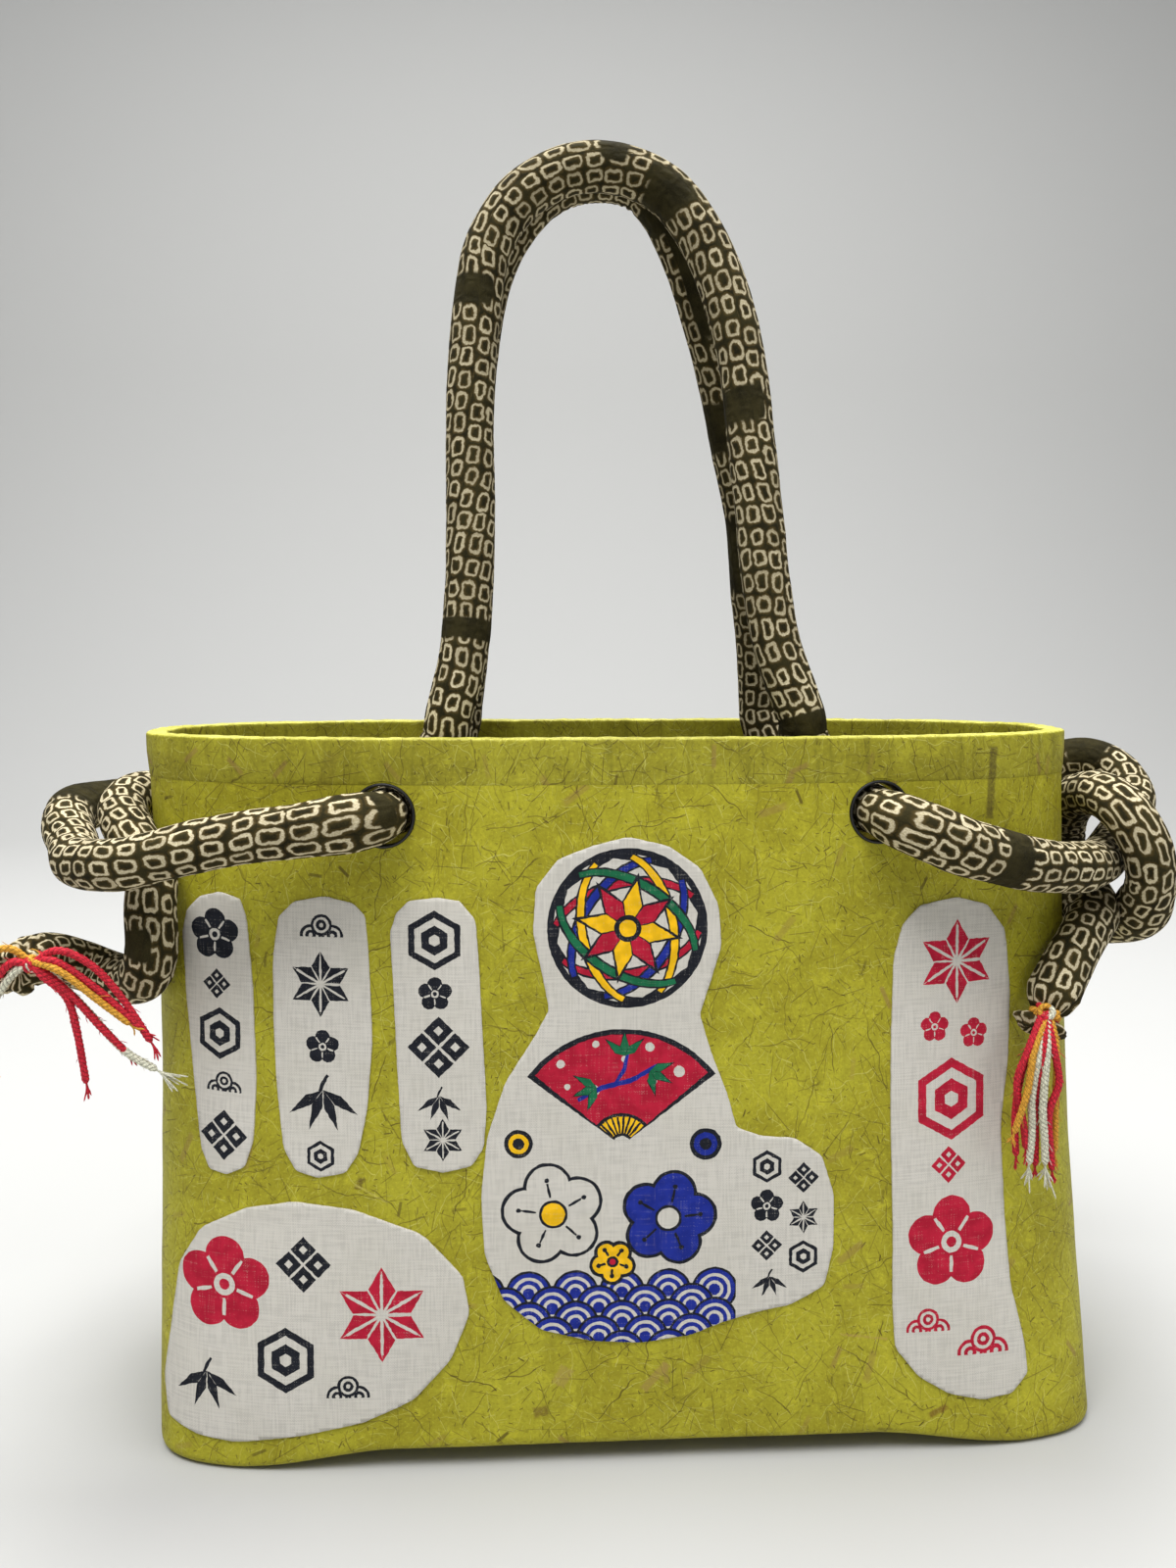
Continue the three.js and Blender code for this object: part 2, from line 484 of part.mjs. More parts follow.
// Cotton patches glued on the front, as outlines seen from the front.
const PATCHES = {
  a: [[-139, 184], [-132, 186], [-125, 184], [-123, 178], [-121, 155], [-120, 126], [-121, 107],
    [-124, 98], [-130, 95], [-136, 96], [-139, 102], [-142, 123], [-145, 152], [-146, 171], [-144, 179]],
  b: [[-107, 184], [-97, 186], [-88, 184], [-84, 180], [-83, 169], [-82, 140], [-84, 118], [-87, 104],
    [-91, 98], [-100, 96], [-107, 98], [-111, 105], [-113, 124], [-114, 146], [-114, 166], [-112, 179]],
  c: [[-70, 185], [-61, 186], [-54, 185], [-49, 179], [-48, 164], [-47, 141], [-46, 119], [-47, 106],
    [-51, 100], [-60, 98], [-69, 100], [-73, 108], [-74, 128], [-75, 153], [-76, 175], [-74, 181]],
  d: [[-108, 88], [-89, 86], [-67, 78], [-54, 64], [-52, 52], [-58, 37], [-70, 24], [-86, 17],
    [-105, 13], [-127, 10], [-140, 11], [-151, 14], [-153, 25], [-150, 45], [-147, 64], [-139, 77],
    [-124, 85]],
  e: [[-13, 202], [-1, 205], [12, 202], [22, 195], [28, 183], [29, 170], [25, 157], [22, 148], [26, 135],
    [31, 122], [34, 111], [42, 108], [53, 107], [62, 101], [66, 88], [66, 71], [63, 58], [52, 52],
    [41, 50], [30, 47], [19, 43], [3, 41], [-13, 42], [-29, 46], [-41, 56], [-47, 71], [-48, 90],
    [-46, 109], [-40, 127], [-31, 141], [-26, 150], [-28, 161], [-31, 175], [-30, 189], [-23, 198]],
  f: [[95, 181], [108, 183], [119, 180], [126, 171], [128, 151], [127, 128], [124, 106], [125, 80],
    [127, 54], [132, 34], [133, 24], [127, 18], [117, 17], [105, 20], [95, 26], [87, 36], [86, 51],
    [86, 77], [85, 109], [85, 138], [86, 164], [89, 175]],
};
const patchLevels = [paperFoot, ...LEVELS];
const clothShell = solid(skin([
  ...patchLevels.map((t) => level(t, GAP)), ...[...patchLevels].reverse().map((t) => level(t, GAP + CLOTH)),
], 'loop'));
function patch(points) {
  const grow = [MOUTH_WIDTH / 2 / LAID.half, BODY_HEIGHT / LAID.tall];
  const shape = new THREE.Shape(points.map(([x, z]) => new THREE.Vector2(x * grow[0], z * grow[1])));
  const prism = new THREE.ExtrudeGeometry(shape, { depth: BASE_DEPTH, bevelEnabled: false });
  prism.rotateX(Math.PI / 2);
  prism.translate(0, -10, 0);
  return geometryOf(clothShell.intersect(solid(prism)));
}

// Named pieces
const group = new THREE.Group();
const COLOURS = {
  core: 0x6b5a2e, paper: 0xaab033, lining: 0xb8a878, board: 0x9a8f70, band: 0xb4ba3a, ring: 0x17130f,
  rope: 0x4a4228, yarn: 0xd7283c, tie: 0xe8a030, cloth: 0xcdc8be,
};
function piece(name, geometry, colour) {
  const flat = geometry.index ? geometry.toNonIndexed() : geometry;
  flat.computeVertexNormals();
  const finish = new THREE.MeshStandardMaterial({ color: COLOURS[colour], roughness: 0.7 });
  const mesh = new THREE.Mesh(flat, finish);
  mesh.name = name;
  group.add(mesh);
}
piece('basket_core', drilled(coreGeometry, HOLE_RADIUS), 'core');
piece('outer_paper', drilled(paperGeometry, HOLE_RADIUS), 'paper');
piece('inner_lining', drilled(liningGeometry, HOLE_RADIUS), 'lining');
piece('base_board', boardGeometry, 'board');
piece('rim_band', drilled(bandGeometry, ringLip + GAP), 'band');
for (const h of holes) piece(`hole_liner_${h.name}`, holeRing(h), 'ring');
for (const [key, points] of Object.entries(PATCHES)) piece(`patch_${key}`, patch(points), 'cloth');
piece('front_handle_arch', arch('front', -1).geometry, 'rope');
piece('rear_handle_arch', arch('rear', 1).geometry, 'rope');
for (const name of Object.keys(TAILS)) {
  const rope = tail(name);
  const t = tassel(name, rope);
  piece(`rope_${name}`, rope.geometry, 'rope');
  piece(`tassel_tie_${name}`, t.tie, 'tie');
  piece(`tassel_${name}`, t.tassel, 'yarn');
  const bead = t.bead.toArray().map((v) => v.toFixed(1)).join(' ');
  console.log(name, 'rope', rope.length.toFixed(0), 'bead', bead);
}
let triangles = 0;
for (const m of group.children) {
  const count = m.geometry.attributes.position.count / 3;
  triangles += count;
  console.log(m.name, count);
}
console.log('pieces', group.children.length, 'triangles', triangles);

export default group;
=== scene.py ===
"""Lacquered paper basket bag: the looks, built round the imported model."""

import math
import random

import bpy
import numpy as np
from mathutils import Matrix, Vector
from mathutils.geometry import delaunay_2d_cdt


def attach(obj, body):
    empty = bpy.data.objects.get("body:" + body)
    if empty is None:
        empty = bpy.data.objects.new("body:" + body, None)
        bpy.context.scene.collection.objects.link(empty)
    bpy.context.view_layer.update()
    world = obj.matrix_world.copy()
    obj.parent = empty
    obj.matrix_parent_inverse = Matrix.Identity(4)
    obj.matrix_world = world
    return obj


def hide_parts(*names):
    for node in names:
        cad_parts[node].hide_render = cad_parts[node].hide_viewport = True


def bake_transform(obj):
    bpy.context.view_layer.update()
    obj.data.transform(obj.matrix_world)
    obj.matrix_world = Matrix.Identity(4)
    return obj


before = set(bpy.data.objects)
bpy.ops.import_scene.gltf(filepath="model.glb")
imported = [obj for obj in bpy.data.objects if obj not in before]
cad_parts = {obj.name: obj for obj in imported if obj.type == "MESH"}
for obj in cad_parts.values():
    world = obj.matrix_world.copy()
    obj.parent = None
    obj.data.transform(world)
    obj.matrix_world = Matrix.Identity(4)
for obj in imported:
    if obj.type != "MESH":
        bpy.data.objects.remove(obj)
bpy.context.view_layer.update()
MM = 0.001
scene = bpy.context.scene
scene.view_settings.view_transform = "Standard"

# Camera, fitted to the photograph: the focal length is as long as the picture is wide
PICTURE_WIDTH = 36.0
CAMERA_PLACE, CAMERA_HEADING = (-0.0321, -0.4185, 0.2644), (0.0505, 0.9920, -0.1155)
cam_data = bpy.data.cameras.new("camera")
cam_data.sensor_fit = "HORIZONTAL"
cam_data.sensor_width = PICTURE_WIDTH
cam_data.lens = PICTURE_WIDTH
cam_data.clip_end = 30.0
camera = bpy.data.objects.new("camera", cam_data)
scene.collection.objects.link(camera)
camera.location = CAMERA_PLACE
camera.rotation_euler = Vector(CAMERA_HEADING).to_track_quat("-Z", "Y").to_euler()
scene.camera = camera


# The UV map holds places on the laid-out sheet, in mm times this, so that its numbers stay small
UV_MM = 0.01


def lin(r, g, b):
    """An sRGB colour written 0 to 255, as linear values."""
    c = [(v / 255 / 12.92) if v / 255 <= 0.04045 else ((v / 255 + 0.055) / 1.055) ** 2.4 for v in (r, g, b)]
    return (*c, 1.0)


def shaded(colour, share, more=0):
    """A colour made darker or lighter by a share, kept within 255."""
    return lin(*[min(255, c * share + more) for c in colour])


class Mat:
    """A material with short calls for its nodes."""

    def __init__(self, name, rough, shine=0.5):
        self.mat = bpy.data.materials.new(name)
        self.mat.use_nodes = True
        self.t = self.mat.node_tree
        self.n = self.t.nodes
        self.bsdf = self.n["Principled BSDF"]
        self.bsdf.inputs["Roughness"].default_value = rough
        self.bsdf.inputs["Specular IOR Level"].default_value = shine

    def put(self, socket, value):
        if value is None:
            return
        if isinstance(value, bpy.types.NodeSocket):
            self.t.links.new(value, socket)
        else:
            socket.default_value = value

    def m(self, op, *values):
        n = self.n.new("ShaderNodeMath")
        n.operation = op
        for s, v in zip(n.inputs, values):
            self.put(s, v)
        return n.outputs[0]

    def add(self, a, b):
        return self.m("ADD", a, b)

    def sub(self, a, b):
        return self.m("SUBTRACT", a, b)

    def mul(self, a, b):
        return self.m("MULTIPLY", a, b)

    def size(self, a):
        return self.m("ABSOLUTE", a)

    def v(self, op, a, b=None, scale=None):
        n = self.n.new("ShaderNodeVectorMath")
        n.operation = op
        self.put(n.inputs[0], a)
        self.put(n.inputs[1], b)
        if scale is not None:
            self.put(n.inputs["Scale"], scale)
        return n.outputs[0]

    def xyz(self, v):
        n = self.n.new("ShaderNodeSeparateXYZ")
        self.put(n.inputs[0], v)
        return n.outputs[0], n.outputs[1], n.outputs[2]

    def join(self, x, y, z):
        n = self.n.new("ShaderNodeCombineXYZ")
        for s, v in zip(n.inputs, (x, y, z)):
            self.put(s, v)
        return n.outputs[0]

    def step(self, x, lo, hi, out_lo=0.0, out_hi=1.0):
        n = self.n.new("ShaderNodeMapRange")
        n.interpolation_type = "SMOOTHSTEP"
        for s, v in zip(n.inputs, (x, lo, hi, out_lo, out_hi)):
            self.put(s, v)
        return n.outputs[0]

    def mix(self, fac, a, b):
        n = self.n.new("ShaderNodeMix")
        n.data_type = "RGBA"
        self.put(n.inputs[0], fac)
        self.put(n.inputs[6], a)
        self.put(n.inputs[7], b)
        return n.outputs[2]

    def noise(self, vec, scale, detail=2.0, rough=0.5, colour=False):
        n = self.n.new("ShaderNodeTexNoise")
        self.put(n.inputs["Vector"], vec)
        n.inputs["Scale"].default_value = scale
        n.inputs["Detail"].default_value = detail
        n.inputs["Roughness"].default_value = rough
        return n.outputs["Color" if colour else "Fac"]

    def shift_noise(self, vec, scale, detail, rough):
        """A noise colour about zero, to move places by."""
        return self.v("SUBTRACT", self.noise(vec, scale, detail, rough, True), (0.5, 0.5, 0.5))

    def cells(self, vec, scale):
        """2D Voronoi cells: (random colour, cell centre)."""
        n = self.n.new("ShaderNodeTexVoronoi")
        n.voronoi_dimensions = "2D"
        self.put(n.inputs["Vector"], vec)
        n.inputs["Scale"].default_value = scale
        return n.outputs["Color"], n.outputs["Position"]

    def white(self, vec):
        n = self.n.new("ShaderNodeTexWhiteNoise")
        self.put(n.inputs["Vector"], vec)
        return n.outputs["Color"]

    def attribute(self, name):
        n = self.n.new("ShaderNodeAttribute")
        n.attribute_name = name
        return n.outputs["Fac"]

    def flat_place(self):
        """The place on the laid-out sheet, in mm, from the UV map."""
        n = self.n.new("ShaderNodeUVMap")
        n.uv_map = "map"
        return self.v("SCALE", n.outputs[0], scale=1 / UV_MM)

    def solid_place(self):
        """The place in the object, in mm."""
        return self.v("SCALE", self.n.new("ShaderNodeTexCoord").outputs["Object"], scale=1 / MM)

    def bump(self, height, strength, distance):
        n = self.n.new("ShaderNodeBump")
        n.inputs["Strength"].default_value = strength
        n.inputs["Distance"].default_value = distance * MM
        self.put(n.inputs["Height"], height)
        return n.outputs[0]

    def scatter(self, chips, col, grain):
        """Lays single chips over the front's colour, with ragged edges."""
        place = self.solid_place()
        ragged = self.m("MULTIPLY_ADD", self.noise(place, 0.8, 4, 0.7), 1.6, -0.8)
        px, py, pz = self.xyz(place)
        front = self.m("LESS_THAN", py, 0.0)
        for x, z, width, length, turn, tint, amount in chips:
            c, s = math.cos(math.radians(turn)), math.sin(math.radians(turn))
            dx, dz = self.sub(px, x), self.sub(pz, z)
            along = self.size(self.add(self.mul(dx, c), self.mul(dz, s)))
            across = self.size(self.sub(self.mul(dz, c), self.mul(dx, s)))
            far = self.m("MAXIMUM", self.sub(along, length / 2), self.sub(across, width / 2))
            on = self.step(self.add(far, ragged), -0.7, 0.3, amount, 0.0)
            on = self.mul(on, self.mul(front, self.step(grain, 0.3, 0.6, 0.65, 1.0)))
            col = self.mix(on, col, lin(*tint))
        return col

    def set(self, **links):
        for key, value in links.items():
            self.put(self.bsdf.inputs[key.replace("_", " ")], value)

    def strokes(self, p, scale, length, width, seed, keep):
        """Straight fibres, one in each cell, at random angles. p in mm. Returns (strength, random)."""
        q = self.v("ADD", p, (seed * 17.3, seed * 31.7, 0))
        rnd, centre = self.cells(q, 1.0 / scale)
        dx, dy, _ = self.xyz(self.v("SUBTRACT", q, centre))
        r, g, b = self.xyz(rnd)
        ang = self.mul(r, 6.2832)
        ca, sa = self.m("COSINE", ang), self.m("SINE", ang)
        u = self.add(self.mul(dx, ca), self.mul(dy, sa))
        w = self.sub(self.mul(dy, ca), self.mul(dx, sa))
        along = self.step(self.size(u), length * 0.32, length * 0.5, 1.0, 0.0)
        across = self.step(self.size(w), width * 0.25, width * 0.5, 1.0, 0.0)
        return self.mul(self.mul(along, across), self.m("LESS_THAN", g, keep)), b


# The body's shape, in mm. The foot is wider and squarer than the rim, and the rim leans to the left.
H = 236.0
FOOT_ARCH = 6.0
WALL_TOP = 232.5
BAND_LOW = 221.6
HALF_WIDTH, HALF_DEPTH = 161, 64
WIDTH_LOSS, DEPTH_LOSS = 1, 13
TOP_BOW, FOOT_BOW = 2.7, 4.3
LEAN = 5
SHEET_LENGTH = 850.0


def ease(x):
    c = np.clip(x, 0, 1)
    return c * c * (3 - 2 * c)


def outline(t):
    """Half width, half depth, exponent and sideways shift at height shares t."""
    bow = TOP_BOW + FOOT_BOW * np.maximum(0, 1 - t) ** 3
    return HALF_WIDTH - WIDTH_LOSS * t, HALF_DEPTH - DEPTH_LOSS * t, bow, LEAN * (0.5 - t)


def rise(u, v):
    """How high the foot's edge stands over the floor at shares of the half width and half depth."""
    return FOOT_ARCH * np.maximum(ease((0.82 - u) / 0.34), ease((0.72 - v) / 0.5))


def ripple(p):
    """The hand-made surface's slow waves, in mm, for points in mm."""
    x, y, z = p[..., 0], p[..., 1], p[..., 2]
    a = np.sin(x / 31 + 1.3 * np.sin(z / 53 + 0.7)) * np.sin(z / 37 + 0.9 + y / 45)
    b = np.sin(x / 13.0 + z / 17.0 + 2.1) * np.sin(z / 11.5 - x / 23.0 + y / 14.0)
    c = np.sin(x / 5.3 - z / 7.1 + y / 4.7) * np.sin(z / 4.9 + x / 8.3)
    return 0.42 * a + 0.13 * b + 0.05 * c


def soft_noise(a, b, seed):
    """Smooth values from about -1 to 1 over two coordinates, from summed sines."""
    rnd = random.Random(seed)
    out = 0.0
    for k in range(5):
        fa, fb, ph, qh = (rnd.uniform(0.6, 1.7) * (1 + k * 0.6) for draw in range(4))
        bent = 1.5 * np.sin(b * fb * 0.7 + qh * 3)
        out = out + np.sin(a * fa + ph * 5 + bent) * np.sin(b * fb + qh * 7) / (1 + 0.5 * k)
    return out / 2.2


def ring_points(t, count):
    """Places and outward directions of count points round the outline at height share t, evenly spaced.
    The first one is at the middle of the rear."""
    a, b, n, shift = outline(t)
    w = np.linspace(0, np.pi / 2, 500)
    fx, fy = a * np.cos(w) ** (2 / n), b * np.sin(w) ** (2 / n)
    run = np.concatenate([[0], np.cumsum(np.hypot(np.diff(fx), np.diff(fy)))])
    q = count // 4
    s = np.linspace(0, run[-1], q + 1)
    x, y = np.interp(s, run, fx), np.interp(s, run, fy)
    x[-1], y[0] = 0.0, 0.0
    nx, ny = (x / a) ** (n - 1) / a, (y / b) ** (n - 1) / b
    k = np.hypot(nx, ny)
    nx, ny = nx / k, ny / k

    def around(v, signs):
        """The quarter's values carried on from the rear's middle to the left, front and right."""
        parts = (v[::-1][:q], v[:q], v[::-1][:q], v[:q])
        return np.concatenate([sign * part for sign, part in zip(signs, parts)])

    in_x, in_y = (-1, -1, 1, 1), (1, -1, -1, 1)
    X, Y = around(x, in_x), around(y, in_y)
    return X, Y, around(nx, in_x), around(ny, in_y), np.abs(X / a), np.abs(Y / b), shift


def shell(profile, count, wave=1.0):
    """Grid of points through (height share, offset, fixed height or None, scale) rows, with its UV in mm."""
    P, UV = [], []
    last = None
    v = 0.0
    for t, off, z, scale in profile:
        X, Y, NX, NY, u, w, shift = ring_points(t, count)
        zz = rise(u * scale, w * scale)
        zz = zz + (H - zz) * t if z is None else np.full(count, float(z))
        pts = np.stack([X * scale + shift + NX * off, Y * scale + NY * off, zz], 1)
        d = ripple(pts) * wave
        pts[:, 0] += NX * d
        pts[:, 1] += NY * d
        if last is not None:
            v += float(np.median(np.linalg.norm(pts - last, axis=1)))
        last = pts
        P.append(pts)
        UV.append(np.stack([np.arange(count) * SHEET_LENGTH / count, np.full(count, v)], 1))
    return np.array(P), np.array(UV)


def grid_object(name, P, UV, material, close_u=True, keep=None, mats=None):
    """Mesh object from a grid of points (rows, columns, 3) in mm."""
    rows, cols = P.shape[:2]
    c2 = cols if close_u else cols - 1
    j, i = np.meshgrid(np.arange(rows - 1), np.arange(c2), indexing="ij")
    j, i = j.ravel(), i.ravel()
    k = (i + 1) % cols
    faces = np.stack([j * cols + i, j * cols + k, (j + 1) * cols + k, (j + 1) * cols + i], 1)
    du = UV[0, 1, 0] - UV[0, 0, 0]
    uv = UV.reshape(-1, 2)[faces].copy()
    wrap = k == 0
    if close_u and wrap.any():
        uv[wrap, 1, 0] = uv[wrap, 0, 0] + du
        uv[wrap, 2, 0] = uv[wrap, 3, 0] + du
    if keep is not None:
        on = keep.ravel()
        faces, uv = faces[on], uv[on]
        mats = None if mats is None else mats[on]
    return mesh_object(name, P.reshape(-1, 3), faces, uv.reshape(-1, 2), material, mats)


def mesh_object(name, verts, faces, uv, material, mats=None, smooth=True):
    """Mesh object from points in mm and faces all of one size. material is one or a list, and smooth
    is one value or one for each face."""
    faces = np.asarray(faces, np.int32)
    used = np.unique(faces)
    remap = np.full(len(verts), -1, np.int32)
    remap[used] = np.arange(len(used))
    verts = np.asarray(verts, np.float64)[used] * MM
    faces = remap[faces]
    mesh = bpy.data.meshes.new(name)
    mesh.vertices.add(len(verts))
    mesh.vertices.foreach_set("co", verts.astype(np.float32).ravel())
    n, k = faces.shape
    mesh.loops.add(n * k)
    mesh.loops.foreach_set("vertex_index", faces.ravel())
    mesh.polygons.add(n)
    mesh.polygons.foreach_set("loop_start", np.arange(n, dtype=np.int32) * k)
    mesh.polygons.foreach_set("loop_total", np.full(n, k, np.int32))
    layer = mesh.uv_layers.new(name="map")
    layer.data.foreach_set("uv", (np.asarray(uv) * UV_MM).astype(np.float32).ravel())
    for mat in material if isinstance(material, list) else [material]:
        mesh.materials.append(mat)
    if mats is not None:
        mesh.polygons.foreach_set("material_index", np.asarray(mats, np.int32))
    mesh.update(calc_edges=True)
    mesh.polygons.foreach_set("use_smooth", np.zeros(n, bool) | smooth)
    mesh.validate()
    obj = bpy.data.objects.new(name, mesh)
    scene.collection.objects.link(obj)
    return obj


def wall(x, z, off, face=-1.0):
    """Points on the front or rear wall over places (x, z), off mm out of it, and the directions there."""
    x, z = np.asarray(x, float), np.asarray(z, float)

    def depth(px, pz):
        t = pz / H
        for closer in range(3):
            a, b, n, shift = outline(t)
            u = np.clip(np.abs(px - shift) / a, 0, 0.9999)
            y = b * (1 - u**n) ** (1 / n)
            z0 = rise(u, y / b)
            t = (pz - z0) / (H - z0)
        return y

    y = depth(x, z)
    along = depth(x + 0.5, z) - depth(x - 0.5, z)
    up = depth(x, z + 0.5) - depth(x, z - 0.5)
    n = np.stack([-along, np.ones_like(y), -up], -1)
    n /= np.linalg.norm(n, axis=-1, keepdims=True)
    n[..., 1] *= face
    p = np.stack([x, face * y, z], -1)
    return p + n * (off + ripple(p))[..., None], n


# Holes: places and axes
HOLE_X, HOLE_Z = {"left": -78.0, "right": 81.0}, 211.7
HOLES = {}
for hole_end, hole_face in (("front", -1), ("rear", 1)):
    for hand, across in HOLE_X.items():
        middle, out = wall(np.array([across]), np.array([HOLE_Z]), 0.0, hole_face)
        HOLES[hole_end + "_" + hand] = (middle[0], out[0])
# How far from a hole's middle, along its axis, a sheet still belongs to its wall
HOLE_REACH = 20


def pierce(P, radius):
    """Which cells of a grid stay round the holes. Points at the edges move onto the circle."""
    rows, cols = P.shape[:2]
    keep = np.ones((rows - 1, cols), bool)
    for c, n in HOLES.values():
        d = P - c
        flat = d - (d @ n)[..., None] * n
        r = np.linalg.norm(flat, axis=-1)
        near = np.abs(d @ n) < HOLE_REACH
        # a cell goes when its middle is inside
        mid = (P[:-1] + P[1:] + np.roll(P[:-1], -1, 1) + np.roll(P[1:], -1, 1)) / 4 - c
        mr = np.linalg.norm(mid - (mid @ n)[..., None] * n, axis=-1)
        gone = (mr < radius) & (np.abs(mid @ n) < HOLE_REACH)
        keep &= ~gone
        touch, stay = np.zeros((rows, cols), bool), np.zeros((rows, cols), bool)
        for a, b in ((0, 0), (0, 1), (1, 0), (1, 1)):
            touch[a : rows - 1 + a] |= np.roll(gone, b, 1)
            stay[a : rows - 1 + a] |= np.roll(~gone, b, 1)
        edge = touch & stay & near & (r > radius * 0.5) & (r < radius * 1.5)
        P[edge] += flat[edge] * ((radius / r[edge]) - 1)[..., None]
    return keep


# Materials
PALE, BROWN, BARK = (216, 212, 112), (88, 74, 24), (146, 116, 66)
# Fibre layers: cell, length and width in mm, share of cells filled, tint, strength, on bent paths or straight
FIBRES = (
    (4.0, 5.0, 0.34, 0.5, PALE, 0.60, True),
    (9.0, 11.0, 0.30, 0.5, PALE, 0.75, True),
    (2.6, 2.6, 0.30, 0.4, PALE, 0.55, False),
    (17.0, 22.0, 0.34, 0.6, PALE, 0.80, True),
    (6.0, 7.0, 0.36, 0.4, BROWN, 0.62, False),
    (12.0, 15.0, 0.36, 0.5, BROWN, 0.72, True),
    (21.0, 28.0, 0.46, 0.7, BROWN, 0.85, True),
    (2.2, 1.6, 0.40, 0.22, BROWN, 0.90, False),
    (5.0, 3.0, 0.60, 0.10, BROWN, 0.90, False),
    (15.0, 19.0, 0.46, 0.6, BROWN, 0.68, True),
    (9.0, 12.0, 0.34, 0.6, BROWN, 0.62, False),
    (24.0, 9.0, 2.2, 0.28, BARK, 0.60, False),
    (37.0, 13.0, 3.2, 0.30, BARK, 0.50, False),
    (13.0, 16.0, 0.40, 0.6, BROWN, 0.66, False),
    (26.0, 6.0, 1.4, 0.4, BROWN, 0.85, False),
)
# Single pieces of bark on the front: x, z, width, length, turn in degrees, tint, strength
CHIPS = (
    (120.3, 220, 3.2, 24, 88, (80, 66, 34), 0.70), (126, 205, 1.4, 16, 60, (96, 84, 30), 0.5),
    (-86.6, 94.3, 2.6, 4.5, 70, (88, 66, 24), 0.75), (-83, 91, 0.8, 12, 150, (206, 196, 96), 0.8),
    (7.8, 29, 3.2, 12, 48, (166, 138, 76), 0.60), (-22.2, 30, 5, 7, 60, (172, 146, 84), 0.50),
    (-29.3, 18.4, 3.6, 5, 10, (112, 88, 36), 0.70), (-95, 226, 5, 12, 75, (118, 106, 36), 0.4),
    (126.4, 45, 1.7, 13, 80, (70, 74, 22), 0.85), (101.8, 14, 2.4, 7, 25, (112, 68, 30), 0.7),
    (76.5, 40, 0.9, 16, -8, (178, 150, 78), 0.8), (140, 222, 0.6, 30, 62, (92, 84, 26), 0.6),
    (146, 214, 0.6, 26, 50, (92, 84, 26), 0.55), (-112, 219, 0.7, 22, 25, (70, 58, 22), 0.65),
)


def washi(name, light, dark, pale_share, brown_share, streaks, chips=()):
    """Fibre paper: a clouded sheet with fine fibres, brown bark threads, flecks and chips in it."""
    M = Mat(name, 0.6, 0.22)
    p = M.flat_place()
    bent = M.v("ADD", p, M.v("SCALE", M.shift_noise(p, 0.035, 3, 0.62), scale=14.0))
    cloud = M.noise(p, 0.03, 5, 0.68)
    patchy = M.noise(bent, 0.14, 6, 0.72)
    grain = M.noise(p, 0.9, 4, 0.75)
    drawn = M.noise(M.v("MULTIPLY", p, (0.22, 0.016, 0)), 1.0, 4, 0.7)
    col = M.mix(M.step(cloud, 0.36, 0.64), lin(*dark), lin(*light))
    col = M.mix(M.step(patchy, 0.48, 0.74, 0, 0.45), col, shaded(dark, 0.84))
    col = M.mix(M.step(patchy, 0.30, 0.48, 0.7, 0), col, shaded(light, 1.12))
    col = M.mix(M.step(grain, 0.52, 0.70, 0, 0.6), col, shaded(dark, 0.78))
    col = M.mix(M.step(grain, 0.30, 0.46, 0.7, 0), col, shaded(light, 1.17))
    col = M.mix(M.step(drawn, 0.5, 0.68, 0, streaks), col, shaded(dark, 0.62))
    height = M.mul(grain, -0.6)
    for seed, (cell, length, width, keep, tint, amount, curved) in enumerate(FIBRES, 1):
        amount *= pale_share if tint is PALE else brown_share
        on, rnd = M.strokes(bent if curved else p, cell, length, width, seed, keep)
        depth = M.m("MULTIPLY_ADD", rnd, 0.65 * amount, 0.35 * amount)
        col = M.mix(M.mul(on, depth), col, lin(*tint))
        height = M.add(height, M.mul(on, 0.5 if width < 1 else 0.15))
    if chips:
        col = M.scatter(chips, col, grain)
    M.set(Base_Color=col, Roughness=M.step(grain, 0.3, 0.7, 0.50, 0.66), Normal=M.bump(height, 0.6, 0.2))
    return M.mat


# Sheet colours: light, dark, strength of the pale and of the brown fibres, strength of drawn streaks
paper_mat = washi("fibre_paper", (176, 170, 44), (157, 149, 33), 0.7, 1.0, 0.12, CHIPS)
band_mat = washi("fibre_paper_band", (168, 162, 46), (146, 139, 36), 0.7, 1.0, 0.35, CHIPS)
# The band's top edge is paler: worn paper, and partly painted light from above.
worn_lit_edge_mat = washi("fibre_paper_worn_lit_edge", (204, 200, 96), (170, 165, 60), 1.3, 0.6, 0.15)
# The lining is the outer sheet's paper darkened by about a quarter: painted shade inside the bag.
lining_mat = washi("lining_paper", (128, 120, 26), (102, 94, 18), 0.35, 0.8, 0.75)


def plain(name, colour, rough, mottled, size):
    """One colour, mottled by a share over spots of a size in mm."""
    M = Mat(name, rough)
    f = M.noise(M.solid_place(), 1.0 / size, 4, 0.6)
    col = M.mix(M.step(f, 0.3, 0.7), shaded(colour, 1 - mottled * 1.6), shaded(colour, 1 + mottled))
    M.set(Base_Color=col, Normal=M.bump(f, 0.25, 0.2))
    return M.mat


